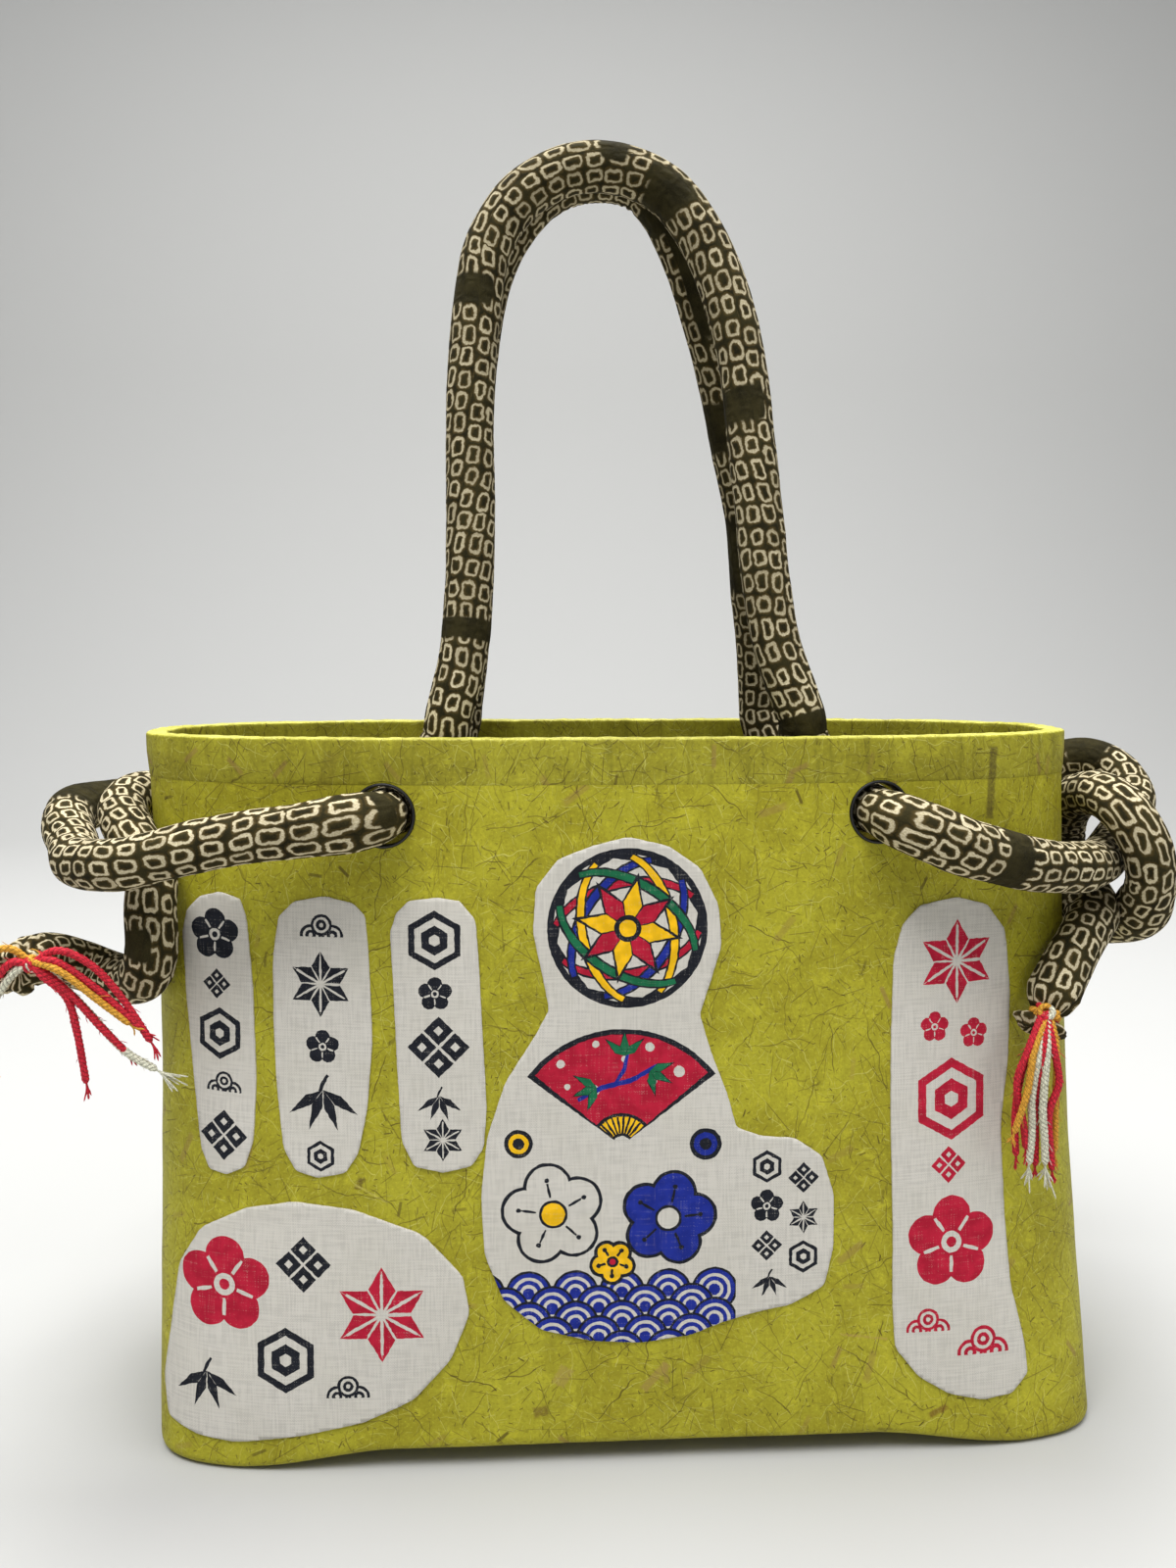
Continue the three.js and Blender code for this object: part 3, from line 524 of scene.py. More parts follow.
def cotton(name, ink=None):
    """Plain-weave cotton, bare or printed."""
    M = Mat(name, 0.9, 0.15)
    p = M.flat_place()
    x, y, _ = M.xyz(M.v("ADD", p, M.v("SCALE", M.noise(p, 0.3, 1, colour=True), scale=0.8)))
    wx, wy = (M.m("SINE", M.mul(c, 2 * math.pi / WEAVE)) for c in (x, y))
    slub = M.noise(M.v("MULTIPLY", p, (0.10, 1.9, 0)), 1.0, 1, 0.5)
    slub2 = M.noise(M.v("MULTIPLY", p, (1.9, 0.10, 0)), 1.0, 1, 0.5)
    tone = M.add(M.mul(M.add(slub, slub2), 0.5), M.mul(M.mul(wx, wy), 0.10))
    col = M.mix(M.step(tone, 0.34, 0.60), shaded(COTTON, 0.91), lin(*COTTON))
    cloud = M.step(M.noise(p, 0.05, 3), 0.35, 0.7, 0.0, 0.25)
    col = M.mix(cloud, col, lin(COTTON[0] * 0.93, COTTON[1] * 0.93, COTTON[2] * 0.90))
    if ink:
        worn = M.step(M.noise(p, 1.3, 4, 0.75), 0.62, 0.84, 0.0, 0.28)
        worn = M.m("MAXIMUM", worn, M.step(tone, 0.60, 0.72, 0.0, 0.22))
        shade = M.mix(M.step(M.noise(p, 0.2, 3), 0.35, 0.65), lin(*ink), shaded(ink, 1.10, 4))
        col = M.mix(worn, shade, col)
    M.set(Base_Color=col, Normal=M.bump(tone, 0.3, 0.12))
    return M.mat


COTTON, WEAVE = (212, 208, 199), 0.8
INKS = {"black": (27, 29, 36), "red": (168, 26, 50), "blue": (28, 42, 132), "yellow": (228, 178, 22),
        "green": (26, 98, 64)}
cloth_mats = [cotton("patch_cotton")] + [cotton("patch_cotton_" + name, ink) for name, ink in INKS.items()]
WHITE, BLACK, RED, BLUE, YELLOW, GREEN = range(6)
# The rope's print: rows of rings round it, a row's height and the rings' pitch in mm
ROWS, ROW, PITCH = 9, 6.14, 7.6


def rope_cloth():
    """Dark cotton with rows of pale resist-dyed rings. UV is mm along, mm round."""
    M = Mat("rope_cloth", 0.92, 0.12)
    p = M.flat_place()
    x, y, _ = M.xyz(M.v("ADD", p, M.v("SCALE", M.shift_noise(p, 0.22, 3, 0.6), scale=3.0)))
    row_f = M.m("DIVIDE", y, ROW)
    row = M.m("FLOOR", row_f)
    fy = M.mul(M.sub(M.sub(row_f, row), 0.5), ROW)
    shift, _, _ = M.xyz(M.white(M.join(row, 3.0, 0.0)))
    col_f = M.add(M.m("DIVIDE", x, PITCH), M.mul(shift, 7.0))
    cell = M.m("FLOOR", col_f)
    fx = M.mul(M.sub(M.sub(col_f, cell), 0.5), PITCH)
    r, g, b = M.xyz(M.white(M.join(row, cell, 1.0)))
    r2, g2, _ = M.xyz(M.white(M.join(row, cell, 7.0)))
    fx = M.add(fx, M.m("MULTIPLY_ADD", r, 0.8, -0.40))
    fy = M.add(fy, M.m("MULTIPLY_ADD", g, 0.6, -0.30))
    # distance to the ring's line, a rectangle with round corners
    ax = M.sub(M.size(fx), M.m("MULTIPLY_ADD", b, 0.8, 0.95))
    ay = M.sub(M.size(fy), M.m("MULTIPLY_ADD", r2, 0.45, 0.45))
    ox, oy = M.m("MAXIMUM", ax, 0.0), M.m("MAXIMUM", ay, 0.0)
    d = M.m("SQRT", M.add(M.mul(ox, ox), M.mul(oy, oy)))
    d = M.sub(M.add(d, M.m("MINIMUM", M.m("MAXIMUM", ax, ay), 0.0)), 1.2)
    edge = M.sub(M.size(d), M.mul(M.noise(p, 0.35, 3, 0.6), 0.95))
    ring = M.step(edge, -0.16, 0.20, 1.0, 0.0)
    halo = M.step(edge, 0.0, 1.0, 1.0, 0.0)
    # no rings or halo where bare: gaps in the print, and painted shade in the rope's shaded places
    band = M.step(M.attribute("bare"), 0.35, 0.65, 1.0, 0.0)
    fade = M.mul(M.m("MULTIPLY_ADD", g2, 0.35, 0.72), M.m("MULTIPLY_ADD", M.attribute("dull"), -0.26, 1.0))
    weave = M.noise(p, 2.4, 2, 0.7)
    ground = M.mix(M.step(M.noise(p, 0.10, 4, 0.6), 0.35, 0.65), lin(30, 27, 12), lin(50, 45, 23))
    ground = M.mix(M.step(weave, 0.45, 0.7, 0, 0.30), ground, lin(74, 67, 38))
    col = M.mix(M.mul(M.mul(halo, 0.5), band), ground, lin(100, 82, 44))
    pale = M.mix(M.step(weave, 0.3, 0.7), lin(180, 167, 131), lin(224, 213, 182))
    col = M.mix(M.mul(M.mul(ring, fade), band), col, pale)
    height = M.add(M.step(edge, -0.5, 1.2, 1.0, 0.0), M.mul(weave, 0.2))
    M.set(Base_Color=col, Normal=M.bump(height, 0.6, 0.4))
    return M.mat


rope_mat = rope_cloth()
# A yarn's length of twist in mm, and its plies
TWIST, PLIES = 4.4, 3


def yarn_mat(name, colour):
    M = Mat(name, 0.7, 0.25)
    p = M.flat_place()
    f = M.noise(M.v("MULTIPLY", p, (0.9, 3.5, 1)), 1.0, 3, 0.6)
    x, y, _ = M.xyz(p)
    turned = M.m("MULTIPLY_ADD", x, 2 * math.pi / TWIST, y)
    ply = M.size(M.m("COSINE", M.mul(turned, PLIES / 2)))
    col = M.mix(M.step(f, 0.3, 0.68), shaded(colour, 0.66), shaded(colour, 1.12, 10))
    # the grooves between the plies are darkened: painted shade
    col = M.mix(M.step(ply, 0.0, 0.55, 0.75, 0.0), col, shaded(colour, 0.5))
    M.set(Base_Color=col, Normal=M.bump(f, 0.5, 0.3))
    return M.mat


# Yarn letters and their materials, in one order
YARN_ORDER = "roc"
YARN_MATS = [yarn_mat("yarn_red", (206, 34, 52)), yarn_mat("yarn_orange", (232, 160, 52)),
             yarn_mat("yarn_cream", (228, 222, 196))]
ring_mat = plain("hole_ring", (9, 8, 7), 0.5, 0.25, 3.0)
board_mat = plain("board", (140, 130, 74), 0.8, 0.1, 3.0)


# Basket body
COUNT = 600
SHELL_RADIUS, BAND_RADIUS, LINING_RADIUS = 10.4, 11.0, 10.3


def rows(points, gap):
    """Level rows (share, off, z, 1) between profile corners (off, z), about gap mm apart."""
    out = []
    for (o0, z0), (o1, z1) in zip(points, points[1:]):
        k = max(1, int(math.hypot(o1 - o0, z1 - z0) / gap))
        out += [(o0 + (o1 - o0) * i / k, z0 + (z1 - z0) * i / k) for i in range(k)]
    return [(min(1.0, z / H), o, z, 1.0) for o, z in out + [points[-1]]]


def outer_paper():
    """Paper under the base, round the foot's edge and up the wall."""
    base_scales = (0.004, 0.1, 0.2, 0.3, 0.4, 0.5, 0.6, 0.7, 0.78, 0.85, 0.9, 0.94, 0.97, 1.0)
    foot_edge = ((0.0008, -2.7), (0.0035, -1.3), (0.007, -0.45), (0.0115, -0.08))
    profile = [(0.0, -3.9, None, s) for s in base_scales]
    profile += [(t, off, None, 1.0) for t, off in foot_edge]
    profile += [(t, 0.0, None, 1.0) for t in np.linspace(0.017, WALL_TOP / H, 154)]
    P, UV = shell(profile, COUNT)
    return grid_object("paper_shell", P, UV, paper_mat, keep=pierce(P, SHELL_RADIUS))


def rim_band():
    """Paper band folded over the wall's edge, with a pale top: worn paper, and painted light falling from
    above.
    """
    out, back, bend = 0.75, -6.1, 0.9
    turns = np.linspace(0, math.pi / 2, 5)
    top = [(out - bend * (1 - math.cos(w)), H - bend + bend * math.sin(w)) for w in turns]
    down = [(back + bend * (1 - math.sin(w)), H - bend + bend * math.cos(w)) for w in turns]
    low = [(0.04, BAND_LOW - 0.2), (0.18, BAND_LOW + 0.2), (0.42, BAND_LOW + 3.0), (out, BAND_LOW + 8.0)]
    inner = [(back, BAND_LOW + 1), (back + 0.3, BAND_LOW), (-5.2, BAND_LOW - 0.1)]
    steps = rows(low + top + down + inner, 0.9)
    P, UV = shell(steps, COUNT * 2)
    # the top edge is worn and a little uneven
    up = np.clip((P[..., 2] - (H - 1.6)) / 1.6, 0, 1)
    run = np.arange(COUNT * 2) * SHEET_LENGTH / (COUNT * 2)
    across = (np.array([o for _, o, _, _ in steps]) + 2.7)[:, None]
    long_waves, short_waves = soft_noise(run / 9, across * 0.3, 61), soft_noise(run / 2.3, across, 62)
    P[..., 2] += up * (0.28 * long_waves + 0.16 * short_waves)
    P[..., 2] = np.minimum(P[..., 2], H + 0.4)
    # faces along the top take the paler paper: worn edge, and painted light from above
    worn = (P[:-1, :, 2] + P[1:, :, 2]) / 2 > H - 0.35
    keep = pierce(P, BAND_RADIUS)
    return grid_object("rim_shell", P, UV, [band_mat, worn_lit_edge_mat], keep=keep, mats=worn.ravel().astype(int))


def lining():
    P, UV = shell([(t, -5.0, None, 1.0) for t in np.linspace(0.0405, WALL_TOP / H, 100)], COUNT)
    return grid_object("lining_shell", P[::-1], UV[::-1], lining_mat, keep=pierce(P, LINING_RADIUS)[::-1])


def floor_board():
    profile = [(0.045, -5.3, 11.5, s) for s in (0.004, 0.2, 0.4, 0.6, 0.8, 0.93, 0.99)]
    profile += [(0.045, -5.3, 11.3, 1.0), (0.045, -5.3, 9.7, 1.0), (0.045, -5.6, 9.5, 1.0)]
    P, UV = shell(profile, 200, 0.0)
    return grid_object("floor_board", P[::-1], UV[::-1], board_mat)


for obj, nodes in ((outer_paper(), ("outer_paper", "basket_core")), (rim_band(), ("rim_band",)),
                   (lining(), ("inner_lining",)), (floor_board(), ("base_board",))):
    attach(obj, "root")
    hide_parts(*nodes)


def lathe(name, points, centre, axis, material):
    """Ring turned about the hole's axis from (radius, out) points in mm."""
    rot = np.array(Vector((0, 0, 1)).rotation_difference(Vector(axis)).to_matrix())
    w = np.linspace(0, 2 * np.pi, 64, endpoint=False)
    rings = [np.stack([r * np.cos(w), r * np.sin(w), np.full(len(w), out)], 1) for r, out in points]
    UV = np.array([np.stack([w * 10, np.full(len(w), 2.0 * i)], 1) for i in range(len(points))])
    return grid_object(name, np.array([ring @ rot.T + centre for ring in rings]), UV, material)


LINER = [(9.6, -5.7), (9.4, -5.3), (9.4, 0.3), (9.55, 0.6), (9.7, 0.6), (10.0, 0.6), (10.2, 0.45),
         (10.3, 0.25), (10.3, -0.2), (10.2, -0.2), (10.1, -5.4), (9.9, -5.7), (9.6, -5.7)]
for hole, (middle, out) in HOLES.items():
    obj = lathe("eyelet_" + hole, LINER, middle, out, ring_mat)
    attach(obj, "root")
    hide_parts("hole_liner_" + hole)

# Ropes
ARCHES = {
    "front": [(-57.5, 243), (-53, 262), (-51, 285), (-50.5, 312), (-50.5, 340), (-49, 367), (-45, 392.5),
              (-36, 409.2), (-23, 419.1), (-9, 422.6), (5, 420.1), (17, 412.6), (27, 398.4), (34.5, 380),
              (39.5, 358), (42, 334), (44.5, 310), (46.5, 287), (50, 265), (57.5, 243)],
    "rear": [(-57.5, 243), (-55, 262), (-54, 285), (-53, 312), (-52, 340), (-50, 367), (-45, 392),
             (-35, 410.5), (-22, 421.5), (-8, 425.2), (6, 423.2), (15.5, 414.8), (23.5, 400.8), (30.5, 382.5),
             (37.5, 360.8), (43.5, 336), (49.5, 312), (52.5, 287), (55.5, 265), (57.5, 243)],
}
TAILS = {
    "front_left": [(-58.8, -34.2, 234.4), (-64, -33, 221.5), (-70.5, -34.5, 214.8),
                   (-76.6, -40.5, 212.3), (-78, -47.5, 211.9), (-79.6, -54.5, 211.7),
                   (-85.5, -60.3, 211.2), (-94, -62.3, 210.2), (-104, -62, 208.8), (-115.5, -61, 207.5),
                   (-130, -61, 205), (-144, -60, 201.5), (-155.5, -57, 198.5), (-166, -50, 197),
                   (-176, -40, 196.5), (-183, -25, 199.5), (-190, -11, 204), (-192.5, 5, 207),
                   (-187, 22, 207.5), (-180, 35, 206), (-171, 46, 199), (-164, 52, 187),
                   (-160, 54.5, 173), (-158, 56, 159)],
    "rear_left": [(-58.8, 34.2, 234.4), (-64, 33, 221.5), (-70.5, 34.5, 214.8), (-76.6, 40.5, 212.3),
                  (-78, 47.5, 211.9), (-79.6, 54.5, 211.7), (-85.5, 60.3, 211.2), (-94, 62.3, 210.6),
                  (-104, 61.5, 210), (-115, 57.5, 209), (-130, 52.5, 208.5), (-146.5, 46, 209),
                  (-160, 34.5, 210), (-169, 19, 211), (-171.5, 3, 211), (-170.6, -12.5, 208.5),
                  (-162.7, -28, 202), (-154.5, -37, 192), (-153, -43, 181), (-152.5, -45, 170),
                  (-156, -41, 160), (-163.5, -32, 155), (-173, -24.5, 154.5), (-182, -25.5, 158.5),
                  (-188, -34.5, 163.5), (-190.5, -46, 165.5), (-191.5, -57, 165)],
    "front_right": [(59.1, -34.2, 234.4), (65, -33, 221.5), (72.5, -34.5, 214.5), (79.4, -40.5, 212.2),
                    (81, -47.5, 211.6), (82.7, -54.5, 211), (87.6, -60.8, 209), (96.5, -62.2, 205.5),
                    (105, -61, 202), (115, -57, 199), (129, -52, 195), (142, -45.5, 192.5),
                    (153.5, -37.5, 191), (163.5, -27.5, 190.5), (172.5, -16.5, 191.5),
                    (182.5, -4.5, 195), (192, 7, 200.5), (199, 18, 208), (198, 28.5, 216),
                    (189.5, 37, 220.5), (177, 44, 217), (168.5, 48.5, 208), (164, 51, 196),
                    (163.8, 53, 185), (166, 54.5, 171), (168, 55, 159)],
    "rear_right": [(59.1, 34.2, 234.4), (65, 33, 221.5), (72.5, 34.5, 214.5), (79.4, 40.5, 212.2),
                   (81, 47.5, 211.5), (82.7, 54.5, 210.6), (87.5, 61.2, 207.5), (96, 63, 201.5),
                   (105, 62.3, 195.3), (117, 59.5, 188), (131, 55.5, 180), (145, 47.5, 171),
                   (157, 36, 164), (166, 23, 161), (173, 10, 161), (179.5, -2, 163.5), (183.6, -15, 168),
                   (182.1, -27, 177), (179, -35.5, 187), (175, -38.5, 198), (171, -34, 207.5),
                   (169, -23, 212.5), (169, -10, 212.5), (168.5, 2, 208), (168.5, 9, 199),
                   (168.5, 8, 189), (168.8, 0, 181), (168, -11, 176), (165, -23, 171), (157, -34, 166.5),
                   (149, -42.5, 161), (141, -48.5, 151), (134, -53, 139)],
}
LEG_Y, TOP_Y, HINGE_Z, HANDLE_RISE = 34.5, 8.2, 243.0, 180.5
FACES = {"front": -1, "rear": 1}
# Radii: in the arch, outside the wall, how much thinner further out, in a hole
ARCH_RADIUS, OUTSIDE_RADIUS, THINNER, HOLE_RADIUS = 7.9, 9.1, 1.0, 7.7
# The gathered ends: neck under the tie, cloth over it, ruffle past it, with the lengths of each
NECK, GATHER_RADIUS, RUFFLE = 3.7, 8.2, 8.2
RUFFLE_LENGTH, GATHER, NECK_HALF = 6.0, 7.5, 1.0
# Some are gaps in the print; the others are painted shade on the arches' hidden inner sides, between the
# ropes and in the knots
# Places without rings, where the dark ground shows: (x, y, z), half width along the rope, and the side they
# lie on if not all round
BARE_AND_SHADED = {
    "front": [((-52.3, -31, 270), 3.4, None), ((-47.5, -15, 378), 5, (-0.6, -1, -0.2)),
              ((-3, -8, 422), 4.5, (0, -0.4, 1)), ((16, -8, 413), 8, (0.3, -1, -0.9)),
              ((42, -20, 343), 6, (-0.8, -1, 0)), ((57, -34, 240), 3, None), ((119, -56, 198), 5.5, None),
              ((-81, -56, 212), 2.6, (0.3, -0.6, 1)), ((-190, 9, 209), 16, (0.5, -0.35, 0.8)),
              ((190, 37, 220), 7, (0, -0.6, 1))],
    "rear": [((18, 8, 415), 6, (0, -1, -0.6)), ((30, 10, 395), 24, (0.7, -1, 0.2)),
             ((45, 19, 345), 9, (-1, -0.3, 0)), ((50, 30, 300), 14, (-1, 0, 0)),
             ((-160, 34, 210), 7, (0, -0.3, 1)), ((-152, -45, 172), 4, (-0.9, -0.6, 0)),
             ((168, 5, 190), 5, None)],
}
# Places where the soft rope fills the eye of its knot: place, half length and added radius
SWOLLEN = {
    "front": [((-190, 3, 206), 12, 0.9), ((152, -39, 191), 10, 0.7)],
    "rear": [((-171.5, 3, 211), 12, 0.9), ((167, -18, 174), 10, 1.6), ((182, -22, 173), 10, 1.3)],
}


def smooth_line(points, step):
    """Points evenly spaced along the smooth curve through points, and the tangents there."""
    p = np.asarray(points, float)
    p = np.vstack([2 * p[0] - p[1], p, 2 * p[-1] - p[-2]])
    w = np.linspace(0, 1, 60, endpoint=False)[:, None]
    fine = []
    for a, b, c, d in zip(p, p[1:], p[2:], p[3:]):
        leave, arrive = (c - a) / 2, (d - b) / 2
        ends = (2 * w**3 - 3 * w**2 + 1) * b + (3 * w**2 - 2 * w**3) * c
        fine.append(ends + (w**3 - 2 * w**2 + w) * leave + (w**3 - w**2) * arrive)
    fine = np.vstack(fine + [p[-2:-1]])
    run = np.concatenate([[0], np.cumsum(np.linalg.norm(np.diff(fine, axis=0), axis=1))])
    n = max(3, int(run[-1] / step) + 1)
    s = np.linspace(0, run[-1], n)
    q = np.stack([np.interp(s, run, fine[:, k]) for k in range(3)], 1)
    d = np.gradient(q, s, axis=0)
    return q, d / np.linalg.norm(d, axis=1, keepdims=True), s


def frames(d, start=(0, 0, 1)):
    """Two directions across the line at each of its points, turned as little as possible along it."""
    side = np.array(start, float)
    A = []
    for t in d:
        side = side - side.dot(t) * t
        side /= np.linalg.norm(side)
        A.append(side)
    A = np.array(A)
    return A, np.cross(d, A)


def nearest(q, place):
    return int(np.argmin(((q - place) ** 2).sum(1)))


def rope_line(side):
    """The rope's middle line, from its left end through both holes to its right end."""
    lean = FACES[side] * (TOP_Y - LEG_Y) / HANDLE_RISE
    arch = [(x, FACES[side] * LEG_Y + lean * (z - HINGE_Z), z) for x, z in ARCHES[side]]
    return smooth_line(TAILS[side + "_left"][::-1] + arch + TAILS[side + "_right"], 1.1)


def rope_radius(side, q, s):
    """Radius along the rope, with each point's distance from the tie and its share of the ruffle."""
    past = np.minimum(s, s[-1] - s) - RUFFLE_LENGTH
    hole_x = np.where(q[:, 0] < 0, -HOLE_X["left"], HOLE_X["right"])
    in_hole = np.exp(-(((np.abs(q[:, 0]) - hole_x) / 9) ** 2)) * (q[:, 2] < 240)
    in_hole = in_hole * np.exp(-(((np.abs(q[:, 1]) - 48) / 9) ** 2))
    thin_from = np.where((q[:, 0] < 0) & (side == "front"), 88, 125)
    outside = OUTSIDE_RADIUS - THINNER * np.clip((np.abs(q[:, 0]) - thin_from) / 25, 0, 1)
    r = ARCH_RADIUS + (outside - ARCH_RADIUS) * ease((242 - q[:, 2]) / 22)
    r = r + (HOLE_RADIUS - r) * in_hole
    for place, half, more in SWOLLEN[side]:
        r = r + more * np.exp(-(((s - s[nearest(q, place)]) / half) ** 2))
    r = r * (1 + 0.018 * soft_noise(s / 14, s * 0, 3) + 0.012 * soft_noise(s / 5, s * 0, 5))
    gathered = np.clip((past - NECK_HALF) / (GATHER - NECK_HALF), 0, 1) ** 0.5
    frill = ease((-NECK_HALF + 0.6 - past) / 1.8) - 0.45 * ease((-past - 3.4) / 2.6)
    r = np.where(past < GATHER, NECK + (GATHER_RADIUS - NECK) * gathered, r)
    return np.where(past < -NECK_HALF + 0.6, NECK + (RUFFLE - NECK) * frill, r), past, frill


def creased(side, q, d, s, w, W, D):
    """Radius over the rope's whole surface: creases inside its bends, the seam, folds and ruffled ends."""
    r, past, frill = rope_radius(side, q, s)
    curve = np.gradient(d, s, axis=0)
    for again in range(6):
        curve[1:-1] = (curve[:-2] + 2 * curve[1:-1] + curve[2:]) / 4
    bend = (D * curve[:, None]).sum(-1) * 8.5
    S = s[:, None] + w[None, :] * 0
    R = r[:, None] * (1 + 0.02 * soft_noise(S / 9, W * 2, 21))
    crease = np.clip((bend - 0.12) / 0.4, 0, 1)
    wave = np.sin(S * 2 * np.pi / (4.6 + 1.2 * np.sin(S / 37)) + 2.0 * soft_noise(W * 1.5, S / 20, 31))
    R = R + crease * (0.55 * np.minimum(wave, 0.4) - 0.25) + np.clip(-bend, 0, 0.6) * 0.25
    seam = np.exp(-((np.minimum(w, 2 * np.pi - w) / 0.10) ** 2))
    R = R - 0.45 * seam * (1 + 0.3 * np.sin(S * 2 * np.pi / 3.1))
    fold = np.clip(1 - past / 14, 0, 1)[:, None] * (past > NECK_HALF)[:, None]
    R = R * (1 + fold * 0.11 * np.sin(9 * W + 1.2 * soft_noise(S / 6, W, 41)))
    lobes = 0.26 * (np.abs(np.cos(3.5 * w[None, :] + 0.3 * np.sin(S / 2.0))) - 0.6)
    return R * (1 + np.clip(frill, 0, 1)[:, None] * (lobes + 0.03 * np.sin(11 * W + 1)))


def printed_length(q, s):
    """Length along the print, which is stretched over the wall on the left and a little elsewhere."""
    over_wall = np.exp(-(((q[:, 0] + 105) / 30) ** 2)) * (q[:, 2] < 220) * (np.abs(q[:, 1]) > 45)
    stretch = 1 + 0.20 * over_wall + 0.10 * soft_noise(s / 60, s * 0, 51)
    return np.concatenate([[0], np.cumsum(np.diff(s) / (0.5 * (stretch[1:] + stretch[:-1])))])


def round_faces(P, UV, wrap=0.0):
    """Faces and UV of a grid whose columns run round a line. wrap goes on the second UV at the seam."""
    count, round_count = P.shape[:2]
    j, i = np.meshgrid(np.arange(count - 1), np.arange(round_count), indexing="ij")
    j, i = j.ravel() * round_count, i.ravel()
    k = (i + 1) % round_count
    faces = np.stack([j + i, j + round_count + i, j + round_count + k, j + k], 1)
    uv = UV.reshape(-1, 2)[faces].copy()
    uv[k == 0, 2:, 1] += wrap
    return faces, uv.reshape(-1, 2)


def bare_and_shaded_places(side, q, s, D):
    """How bare of rings each point of the rope's surface is, 0 to 1: gaps in the print, and painted shade."""
    bare = np.zeros(D.shape[:2])
    for place, half, toward in BARE_AND_SHADED[side]:
        near = np.clip(1.5 - np.abs(s - s[nearest(q, place)]) / half, 0, 1)[:, None]
        if toward:
            toward = np.array(toward) / np.linalg.norm(toward)
            near = near * np.clip((D @ toward) * 3 - 0.4, 0, 1)
        bare = np.maximum(bare, near)
    return bare


def rope(name, side):
    """One handle's whole rope as a soft skin, with its print and both gathered ends."""
    q, d, s = rope_line(side)
    A, B = frames(d, (0, 1, 0))
    w = np.linspace(0, 2 * np.pi, 44, endpoint=False)
    # the cloth twists slowly along the rope
    W = w[None, :] + (0.9 * soft_noise(s / 90, s * 0, 11) + 0.3 * soft_noise(s / 30, s * 0, 12))[:, None]
    D = np.cos(W)[..., None] * A[:, None] + np.sin(W)[..., None] * B[:, None]
    P = q[:, None] + D * creased(side, q, d, s, w, W, D)[..., None]
    round_print = np.broadcast_to(w * ROWS * ROW / (2 * np.pi), W.shape)
    UV = np.stack([printed_length(q, s)[:, None] + w * 0, round_print], -1)
    # gathered ends: the cloth turns in over the cut, in (share of the radius, way out) rings
    turned_in = ((0.93, -0.5), (0.8, -0.3), (0.55, 1.6), (0.25, 3.0), (0.02, 3.2))
    start, stop = ([q[e] + (P[e] - q[e]) * share + d[e] * sign * out for share, out in turned_in]
                   for e, sign in ((0, 1), (-1, -1)))
    caps = len(turned_in)
    P = np.concatenate([np.array(start)[::-1], P, np.array(stop)])
    lead = UV[:1] - np.array([1.2, 0]) * np.arange(caps, 0, -1)[:, None, None]
    trail = UV[-1:] + np.array([1.2, 0]) * np.arange(1, caps + 1)[:, None, None]
    UV = np.concatenate([lead, UV, trail])
    faces, uv = round_faces(P, UV, ROWS * ROW)
    obj = mesh_object(name, P.reshape(-1, 3), faces, uv, rope_mat)
    # bareness: gaps in the print, and painted shade
    bare = np.pad(bare_and_shaded_places(side, q, s, D), ((caps, caps), (0, 0)), mode="edge")
    # the print is duller in the arch
    dull = np.pad(ease((q[:, 2] - HINGE_Z) / 30), caps, mode="edge")[:, None] + 0 * bare
    for layer_name, values in (("bare", bare), ("dull", dull)):
        layer = obj.data.attributes.new(layer_name, "FLOAT", "POINT")
        layer.data.foreach_set("value", values.ravel().astype(np.float32))
    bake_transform(obj)
    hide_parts(side + "_handle_arch", f"rope_{side}_left", f"rope_{side}_right")


rope("rope_front", "front")
rope("rope_rear", "rear")


# Ties and tassels
def tube(points, radius, sides=12, step=0.6, plied=True, taper=0.0, seed=0):
    """Grid of points for a round or twisted yarn along a smooth line."""
    q, d, s = smooth_line(points, step)
    A, B = frames(d, (0.3, 0.2, 0.93))
    w = np.linspace(0, 2 * np.pi, sides, endpoint=False)[None, :]
    S = s[:, None]
    R = radius * (1 + 0.06 * soft_noise(S / 3 + seed, w * 0, seed))
    if plied:
        R = R * (0.80 + 0.26 * np.abs(np.cos(PLIES / 2 * (w + S * 2 * np.pi / TWIST))))
    ends = np.minimum(S, s[-1] - S)
    R = R * np.sqrt(np.clip(ends / (radius * 1.3), 0.004, 1)) * (1 - taper * S / s[-1])
    P = q[:, None] + (np.cos(w)[..., None] * A[:, None] + np.sin(w)[..., None] * B[:, None]) * R[..., None]
    return P, np.stack([S + w * 0, np.broadcast_to(w, (len(s), sides))], -1)


class Bundle:
    """Several tubes joined into one mesh, each with its own yarn material."""

    def __init__(self):
        self.v, self.f, self.uv, self.m, self.n = [], [], [], [], 0

    def add(self, mat, points, radius, **form):
        P, UV = tube(points, radius, **form)
        faces, uv = round_faces(P, UV)
        self.v.append(P.reshape(-1, 3))
        self.f.append(faces + self.n)
        self.uv.append(uv)
        self.m.append(np.full(len(faces), mat))
        self.n += len(self.v[-1])

    def make(self, name):
        parts = [np.vstack(part) for part in (self.v, self.f, self.uv)]
        return mesh_object(name, *parts, YARN_MATS, np.concatenate(self.m))


